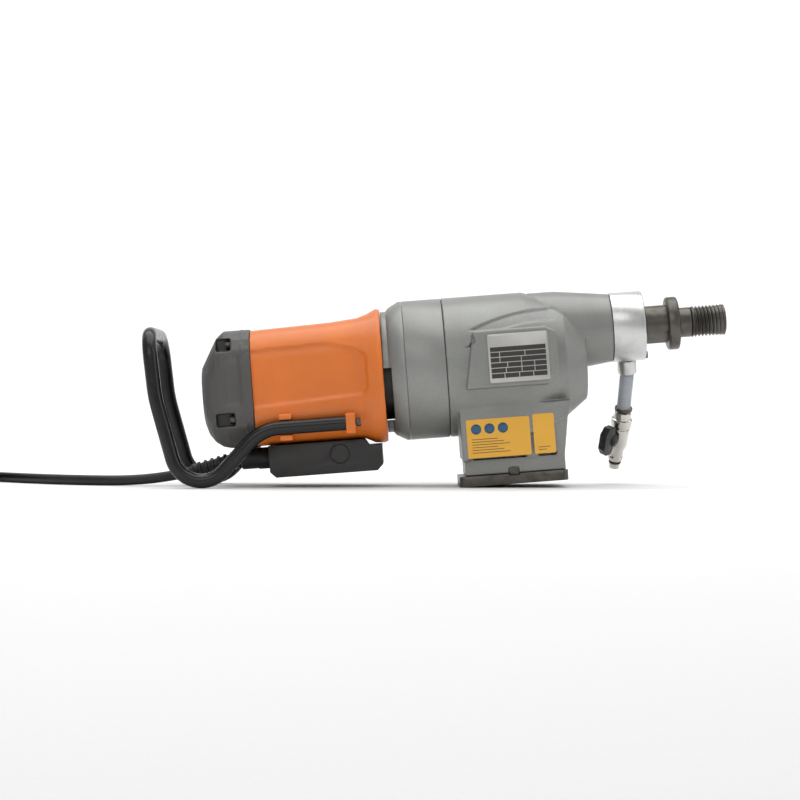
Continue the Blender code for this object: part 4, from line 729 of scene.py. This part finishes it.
# Gear housing: two true rounds, a swept crease over each side pad, a half round let into the pad's
# rear edge, and a step across the foot's sides.
gearLook = {
    "fineness": 0.0013,
    "barrel": [(-0.005, 0.0715), (0.078, 0.0715), (0.117, 0.0585), (0.138, 0.0425)],
    "neck": [(0.100, 0.0418), (0.112, 0.0415), (0.146, 0.0375), (0.1677, 0.0347)],
    "crease": (0.016, 0.106, 0.1545, 0.0200),  # rear x, front x, height at the rear, rise
    "creaseX": (0.018, 0.106), "creaseUnder": (-0.012, 0.0), "creaseAbove": 0.1570,
    "creaseOut": 0.030, "creaseDepth": 0.0016,
    "notch": (0.0185, 0.1468, 0.0062), "notchOut": 0.0690, "notchDepth": 0.0050,
    "step": (0.0262, 0.0768), "stepOut": (0.0560, 0.0580), "stepDepth": 0.0008,
    "blur": 0.001,  # half the width over which the notch and the step begin
}


def workGear(at, out):
    x, z = at[:, 0], at[:, 2]
    side = np.sign(at[:, 1])
    rear, front, base, rise = gearLook["crease"]
    line = base + rise * (1 - np.clip((front - x) / (front - rear), 0, 1) ** 2.2)
    flank = (np.abs(at[:, 1]) > gearLook["creaseOut"]) & (out[:, 1] * side > 0.15)
    mask = inside(z - line, *gearLook["creaseUnder"], 0.0030) * inside(x, *gearLook["creaseX"], 0.012)
    sunk = (mask * flank * (z > gearLook["creaseAbove"]) * gearLook["creaseDepth"])[:, None]
    at = at - out * sunk
    notchX, notchZ, radius = gearLook["notch"]
    blur = gearLook["blur"]
    hollow = 1 - step(np.hypot(x - notchX, z - notchZ), radius - blur, radius + blur)
    at[:, 1] -= side * hollow * (np.abs(at[:, 1]) > gearLook["notchOut"]) * gearLook["notchDepth"]
    bottom, top = gearLook["step"]
    low = (1 - step(z, top - blur, top + blur)) * (z > bottom)
    near, far = gearLook["stepOut"]
    face = (np.abs(at[:, 1]) > near) & (np.abs(at[:, 1]) < far) & (out[:, 1] * side > 0.7)
    at[:, 1] += side * low * face * gearLook["stepDepth"]
    return at


gearRounds = [roundTo(gearLook["barrel"], rig["motorZ"]), roundTo(gearLook["neck"], rig["spindleZ"])]
denseShell("gear_housing", gearLook["fineness"], gearRounds, workGear, silverCasting, "silver_casting")
print("shells worked")


# Spindle nose: turned steel with two ground flats, a flange, a shoulder and a right-hand thread.
spindleLook = {
    "flats": (0.2027, 0.2254), "acrossFlats": 0.032, "flatsAt": math.radians(30),
    "thread": (0.2512, 0.2852), "major": 0.015875, "pitch": 0.00363, "depth": 0.0021,
    "runIn": 0.003, "runOut": 0.0012,  # length over which the thread deepens and ends
    "flank": 1.35, "crest": 0.12,  # steepness of its sides, and width of its crests
    "threadPoints": 180, "edge": 0.0002,
}


def spindleShape(x, angle, radius):
    look = spindleLook
    if look["flats"][0] <= x <= look["flats"][1] - 0.0001:
        across = abs(math.sin(angle + look["flatsAt"]))
        return min(radius, look["acrossFlats"] / 2 / max(across, 0.01))
    if look["thread"][0] < x < look["thread"][1]:
        turn = (x / look["pitch"] - angle / (2 * math.pi)) % 1
        wave = abs(turn * 2 - 1)
        fade = min(1, (x - look["thread"][0]) / look["runIn"], (look["thread"][1] - x) / look["runOut"])
        return look["major"] - look["depth"] * min(max(wave * look["flank"] - look["crest"], 0), 1) * fade
    return radius


threadPoints = spindleLook["threadPoints"]
noseOutline = [(0.1700, 0.0055), (0.1700, 0.0140), (0.1990, 0.0140), (0.2026, 0.0150)]
noseOutline += [(0.2027, 0.0180), (0.2035, 0.0195)]
noseOutline += [(0.2055 + 0.019 * i / 8, 0.0195) for i in range(9)] + [(0.2253, 0.0195)]
noseOutline += [(0.2254, 0.0252), (0.2260, 0.0264), (0.2274, 0.0272), (0.2353, 0.0272), (0.2367, 0.0264),
                (0.2373, 0.0250), (0.2375, 0.0160), (0.2380, 0.0153), (0.2495, 0.0153), (0.2504, 0.0150)]
noseOutline += [(0.2510 + 0.0344 * i / threadPoints, 0.0137) for i in range(threadPoints + 1)]
noseOutline += [(0.2860, 0.0130), (0.2860, 0.0060), (0.2850, 0.0050), (0.1710, 0.0050)]
spindleNose = lathe("spindleNose", noseOutline, 120, spindleShape)
softEdges(spindleNose, spindleLook["edge"], 50)
settle(spindleNose, blackenedSteel, onSpindle, "spindle", "blackened_steel", "spindle")


# Handle: one bent steel tube from clamp to clamp round the rear.
handleLook = {
    "radius": 0.0073, "halfWidth": 0.0635,
    # (x, z) of each corner of one side, with the radius of its bend
    "side": [((-0.1100, 0.074), 0), ((-0.1945, 0.074), 0.046), ((-0.2751, -0.0029), 0.0302),
             ((-0.2985, 0.114), 0.150), ((-0.3012, 0.1783), 0.026)],
}


# A line through corners, each (corner, bend radius), with its bends drawn as arcs.
def roundedPath(corners, steps=14):
    made = [corners[0][0]]
    for (before, _), (corner, radius), (after, _) in zip(corners, corners[1:], corners[2:]):
        back, on = (before - corner).normalized(), (after - corner).normalized()
        half = back.angle(on) / 2
        middle = corner + (back + on).normalized() * (radius / math.sin(half))
        first = corner + back * radius / math.tan(half)
        last = corner + on * radius / math.tan(half)
        arc = (first - middle).angle(last - middle)
        for i in range(steps + 1):
            share = math.sin(arc * (1 - i / steps)) * (first - middle)
            share = share + math.sin(arc * i / steps) * (last - middle)
            made.append(middle + share / math.sin(arc))
    return made + [corners[-1][0]]


wide = handleLook["halfWidth"]
corners = [(Vector((x, -wide, z)), bend) for (x, z), bend in handleLook["side"]]
corners += [(Vector((x, wide, z)), bend) for (x, z), bend in reversed(handleLook["side"])]
handle = curveTube("handleTube", [roundedPath(corners)], handleLook["radius"], 8)
settle(handle, handleCoat, level, "housing", "handle_coating", "handle")


# Strain relief: a ribbed rubber sleeve that tapers from the gland to the lead.
reliefLook = {
    "length": 0.050, "root": 0.0092, "taper": 0.24,
    "ribs": 6, "firstRib": 0.0045, "ribsApart": 0.0070, "ribHigh": 0.0004, "groove": 0.0012,
    "droop": math.radians(9.6), "x": -0.2213, "z": 0.0442, "edge": 0.0002,
}
relief = [(0.0, 0), (0.0, reliefLook["root"]), (0.0020, 0.0096)]
for i in range(reliefLook["ribs"]):
    x = reliefLook["firstRib"] + i * reliefLook["ribsApart"]
    lean = 1 - reliefLook["taper"] * x / reliefLook["length"]
    core = reliefLook["root"] * lean - reliefLook["groove"]
    crown = (reliefLook["root"] + reliefLook["ribHigh"]) * lean
    relief += [(x, core), (x + 0.0010, core), (x + 0.0016, crown), (x + 0.0042, crown), (x + 0.0048, core)]
relief += [(0.0470, 0.0066), (0.0485, 0.0070), (reliefLook["length"], 0.0064), (reliefLook["length"], 0)]
sleeve = softEdges(lathe("strainSleeve", relief, 64), reliefLook["edge"])
mouth = reliefLook["x"] - reliefLook["root"] * math.sin(reliefLook["droop"])
reliefPlace = level @ Matrix.Translation((mouth, 0, reliefLook["z"]))
reliefPlace = reliefPlace @ Matrix.Rotation(math.pi - reliefLook["droop"], 4, "Y")
settle(sleeve, blackRubber, reliefPlace, "housing", "black_rubber", "strain_relief")


# A ring of black nylon round the fan, which stands behind the air window.
fanLook = {"rear": -0.0690, "front": -0.0562, "outer": 0.0488, "inner": 0.0476, "edge": 0.0003}
fanOutline = [(fanLook["rear"], fanLook["outer"]), (fanLook["rear"], fanLook["inner"]),
              (fanLook["front"], fanLook["inner"]), (fanLook["front"], fanLook["outer"])]
fanRing = softEdges(lathe("fanRing", fanOutline), fanLook["edge"])
settle(fanRing, blackNylon, onMotor, "housing", "black_nylon")


# Water hose: a clear skin over a braid of crossing threads on a milky tube.
hoseLook = {
    "top": (0.1840, -0.0527), "foot": (0.1790, -0.0958), "swing": math.radians(25), "endGap": 0.0003,
    "skin": (0.0070, 0.0074, 0.0077), "skinRound": 0.0004,  # bore, rim and outside
    "tube": (0.0054, 0.0063),  # bore and outside
    "braid": 0.0067, "thread": 0.00026, "threads": 7, "turns": 1.8, "points": 40, "braidGap": 0.0008,
}
inlet = onSpindle @ Matrix.Rotation(hoseLook["swing"], 4, "X")
(topX, topZ), (footX, footZ) = hoseLook["top"], hoseLook["foot"]
hoseLength = math.hypot(footX - topX, footZ - topZ)
hosePlace = inlet @ Matrix.Translation((topX, 0, topZ))
hosePlace = hosePlace @ Matrix.Rotation(-math.atan2(footZ - topZ, footX - topX), 4, "Y")
start, end = hoseLook["endGap"], hoseLength - hoseLook["endGap"]
bore, rim, outside = hoseLook["skin"]
skin = [(start, bore), (start, rim), (start + hoseLook["skinRound"], outside),
        (end - hoseLook["skinRound"], outside), (end, rim), (end, bore)]
bore, outside = hoseLook["tube"]
tube = [(start, bore), (start, outside), (end, outside), (end, bore)]
settle(lathe("hoseSkin", skin, 48), clearHose, hosePlace, "housing", "clear_hose", "water_hose")
settle(lathe("hoseTube", tube, 48), innerTube, hosePlace, "housing", "clear_hose")
threads = []
for k in range(hoseLook["threads"]):
    for way in (-1, 1):
        line = []
        for i in range(hoseLook["points"] + 1):
            t = i / hoseLook["points"]
            turn = 2 * math.pi * (k / hoseLook["threads"] + way * hoseLook["turns"] * t)
            x = hoseLook["braidGap"] + (hoseLength - 2 * hoseLook["braidGap"]) * t
            line.append((x, hoseLook["braid"] * math.cos(turn), hoseLook["braid"] * math.sin(turn)))
        threads.append(line)
braid = curveTube("hoseBraid", threads, hoseLook["thread"], 1)
settle(braid, braidThread, hosePlace, "housing", "clear_hose")
print("turned and bent pieces made")


# Labels: yellow vinyl on both faces of the block, printed with plain discs and plain bars.
labelLook = {
    "y": 0.0572, "thick": 0.0003, "corner": 0.0015, "ink": 0.00008,
    "wide": (0.0103, 0.0285, 0.0740, 0.0674), "narrow": (0.0773, 0.0287, 0.0987, 0.0687),
    "discs": (0.0200, 0.0335, 0.0470), "discZ": 0.0575, "discRadius": 0.0052,
    "barHigh": 0.0007,
    "bars": [(0.0150, 0.0470 - 0.0027 * i, 0.026 + 0.006 * (i % 3)) for i in range(6)]
    + [(0.0815, 0.0350 - 0.0026 * i, 0.012 - 0.004 * (i % 2)) for i in range(2)],
}
ink = labelLook["ink"]
discOutline = [(0, 0), (0, labelLook["discRadius"]), (ink, labelLook["discRadius"]), (ink, 0)]
for side, sideName in ((-1, "Near"), (1, "Far")):
    for key in ("wide", "narrow"):
        outline = roundedOutline(*labelLook[key], labelLook["corner"])
        y = side * labelLook["y"]
        near, far = sorted((y, y + side * labelLook["thick"]))
        sheet = slab(key + "Label" + sideName, outline, near, far)
        settle(sheet, yellowVinyl, level, "housing", "plate_print")
    y = side * (labelLook["y"] + labelLook["thick"])
    near, far = sorted((y, y + side * ink))
    bars = [((x, near, z), (x + w, far, z + labelLook["barHigh"])) for x, z, w in labelLook["bars"]]
    settle(blocks("labelBars" + sideName, bars), greyInk, level, "housing", "plate_print")
    for k, x in enumerate(labelLook["discs"]):
        disc = lathe("labelDisc" + str(k + 1) + sideName, discOutline, 40)
        place = level @ Matrix.Translation((x, near, labelLook["discZ"]))
        place = place @ Matrix.Rotation(math.pi / 2, 4, "Z")
        settle(disc, blueInk, place, "housing", "plate_print")


# Rating plate: bare aluminium with blank dark cells, each row split at the given shares.
plateLook = {
    "y": -0.0776, "proud": 0.00010, "sunk": 0.00005,
    "left": 0.0390, "right": 0.0952, "top": 0.1380, "row": 0.0053, "gap": 0.0008,
    "columns": ((0.0,), (0.0, 0.17, 0.62), (0.0, 0.17, 0.55), (0.0, 0.30, 0.55, 0.78),
                (0.0, 0.27, 0.55, 0.78), (0.0, 0.24, 0.50, 0.75)),
}
y = plateLook["y"] - plateLook["proud"], plateLook["y"] + plateLook["sunk"]
wide = plateLook["right"] - plateLook["left"]
cells = []
for k, starts in enumerate(plateLook["columns"]):
    high = plateLook["top"] - k * plateLook["row"]
    for first, last in zip(starts, starts[1:] + (1.0,)):
        left = plateLook["left"] + wide * first
        right = plateLook["left"] + wide * last - plateLook["gap"]
        cells.append(((left, y[0], high - plateLook["row"] + plateLook["gap"]), (right, y[1], high)))
settle(blocks("plateCells", cells), darkPlate, level, "housing", "plate_print")
nodes["rating_plate"].data.materials[0] = plateLines


# Selector: three plain marks on the casting round the knob, and a pointer line on the knob.
dialLook = {
    "x": 0.048, "z": 0.121646, "y": 0.0766, "ring": 0.0225, "marks": (-60, 0, 60),
    "markHalf": 0.0011, "markDeep": 0.0002,
    "pointer": (-0.0007, 0.0040, 0.0007, 0.0150), "pointerRound": 0.0006, "pointerY": (0.0918, 0.09195),
}
marks = []
for turn in dialLook["marks"]:
    angle = math.radians(turn)
    x = dialLook["x"] + dialLook["ring"] * math.sin(angle)
    z = dialLook["z"] + dialLook["ring"] * math.cos(angle)
    reach = np.array([dialLook["markHalf"], dialLook["markDeep"], dialLook["markHalf"]])
    middle = np.array([x, dialLook["y"], z])
    marks.append((tuple(middle - reach), tuple(middle + reach)))
settle(blocks("dialMarks", marks), whiteInk, level, "housing", "plate_print")
pointerOutline = roundedOutline(*dialLook["pointer"], dialLook["pointerRound"], 3)
pointer = slab("selectorPointer", pointerOutline, *dialLook["pointerY"])
pointerPlace = level @ Matrix.Translation((dialLook["x"], 0, dialLook["z"]))
settle(pointer, whiteInk, pointerPlace, "selector", "plate_print")
print("labels, plate and dial made")


# Coil tie: a soft strap round the band of turns.
tieLook = {
    "at": math.radians(280), "halfBand": 0.0172, "low": 0.0010, "high": 0.0548, "corner": 0.006,
    "strands": 7, "strandsApart": 0.024, "radius": 0.0009,
}
tieLoops = []
half = tieLook["halfBand"]
for k in range(tieLook["strands"]):
    turn = tieLook["at"] + (k - tieLook["strands"] / 2) * tieLook["strandsApart"]
    loop = []
    for along, z in roundedOutline(-half, tieLook["low"], half, tieLook["high"], tieLook["corner"], 5):
        r = lead["middle"] + along
        loop.append((r * math.cos(turn), r * math.sin(turn), z))
    tieLoops.append(loop)
settle(curveTube("coilTie", tieLoops, tieLook["radius"], 2, closed=True), blackNylon,
       Matrix.Translation(edge + lead["coilAt"]), "housing", "black_nylon")


# Studio: a pale floor that sweeps up behind, a broad soft light above and a softer one in front.
studio = {
    "front": -6.0, "back": 1.9, "rise": 1.4, "top": 5.0, "half": 7.0, "bend": 24,
    "paper": ("#F4F4F4", "#F0F0F0"), "world": 0.46,
    "softTop": {"size": (2.2, 1.6), "power": 24, "at": (0.0, -0.10, 1.7), "aim": (0.0, -0.10, 0.0)},
    "softFront": {"size": (1.6, 0.9), "power": 7, "at": (-0.5, -1.9, 1.1), "aim": (0.0, 0.0, 0.1)},
    "softSide": {"size": (0.5, 1.2), "power": 4, "at": (1.6, -0.6, 0.8), "aim": (0.1, 0.0, 0.1)},
    "softWall": {"size": (5.0, 1.2), "power": 66, "at": (0.0, 1.0, 2.3), "aim": (0.0, 3.2, 0.5)},
}
outline = [(studio["front"], 0)]
for i in range(studio["bend"] + 1):
    a = math.pi / 2 * i / studio["bend"]
    outline.append((studio["back"] + studio["rise"] * math.sin(a), studio["rise"] * (1 - math.cos(a))))
outline.append((studio["back"] + studio["rise"], studio["top"]))
sweepVerts = [(x, y, z) for y, z in outline for x in (-studio["half"], studio["half"])]
sweepFaces = [[2 * i, 2 * i + 1, 2 * i + 3, 2 * i + 2] for i in range(len(outline) - 1)]
sweep = meshPiece("studioSweep", sweepVerts, sweepFaces)
# Seamless paper, rolled out: matt white with a faint fibre of 3 mm.
paper, tree, shader, place = newMaterial("seamlessPaper")
fibre = node(tree, "ShaderNodeTexNoise", {"Vector": place, "Scale": perMetre(3), "Detail": 3})
white, shade = (linear(colour) for colour in studio["paper"])
tone = node(tree, "ShaderNodeMix", {"Factor": fibre.outputs["Fac"], "A": white, "B": shade}, data_type="RGBA")
feed(tree, shader, {"Base Color": tone.outputs["Result"], "Roughness": 0.7})
sweep.data.materials.append(paper)

world = bpy.data.worlds.new("studioWorld")
bpy.context.scene.world = world
world.use_nodes = True
feed(world.node_tree, world.node_tree.nodes["Background"], {
    "Color": (1, 1, 1, 1), "Strength": studio["world"]})
bpy.context.scene.view_settings.view_transform = "Standard"


def areaLight(name, size, power, at, aim):
    data = bpy.data.lights.new(name, "AREA")
    data.shape = "RECTANGLE"
    data.size, data.size_y = size
    data.energy = power
    made = bpy.data.objects.new(name, data)
    made.location = at
    made.rotation_euler = (Vector(aim) - Vector(at)).to_track_quat("-Z", "Y").to_euler()
    bpy.context.scene.collection.objects.link(made)


for name in ("softTop", "softFront", "softSide", "softWall"):
    areaLight(name, **studio[name])
print("studio set")

bpy.context.view_layer.update()
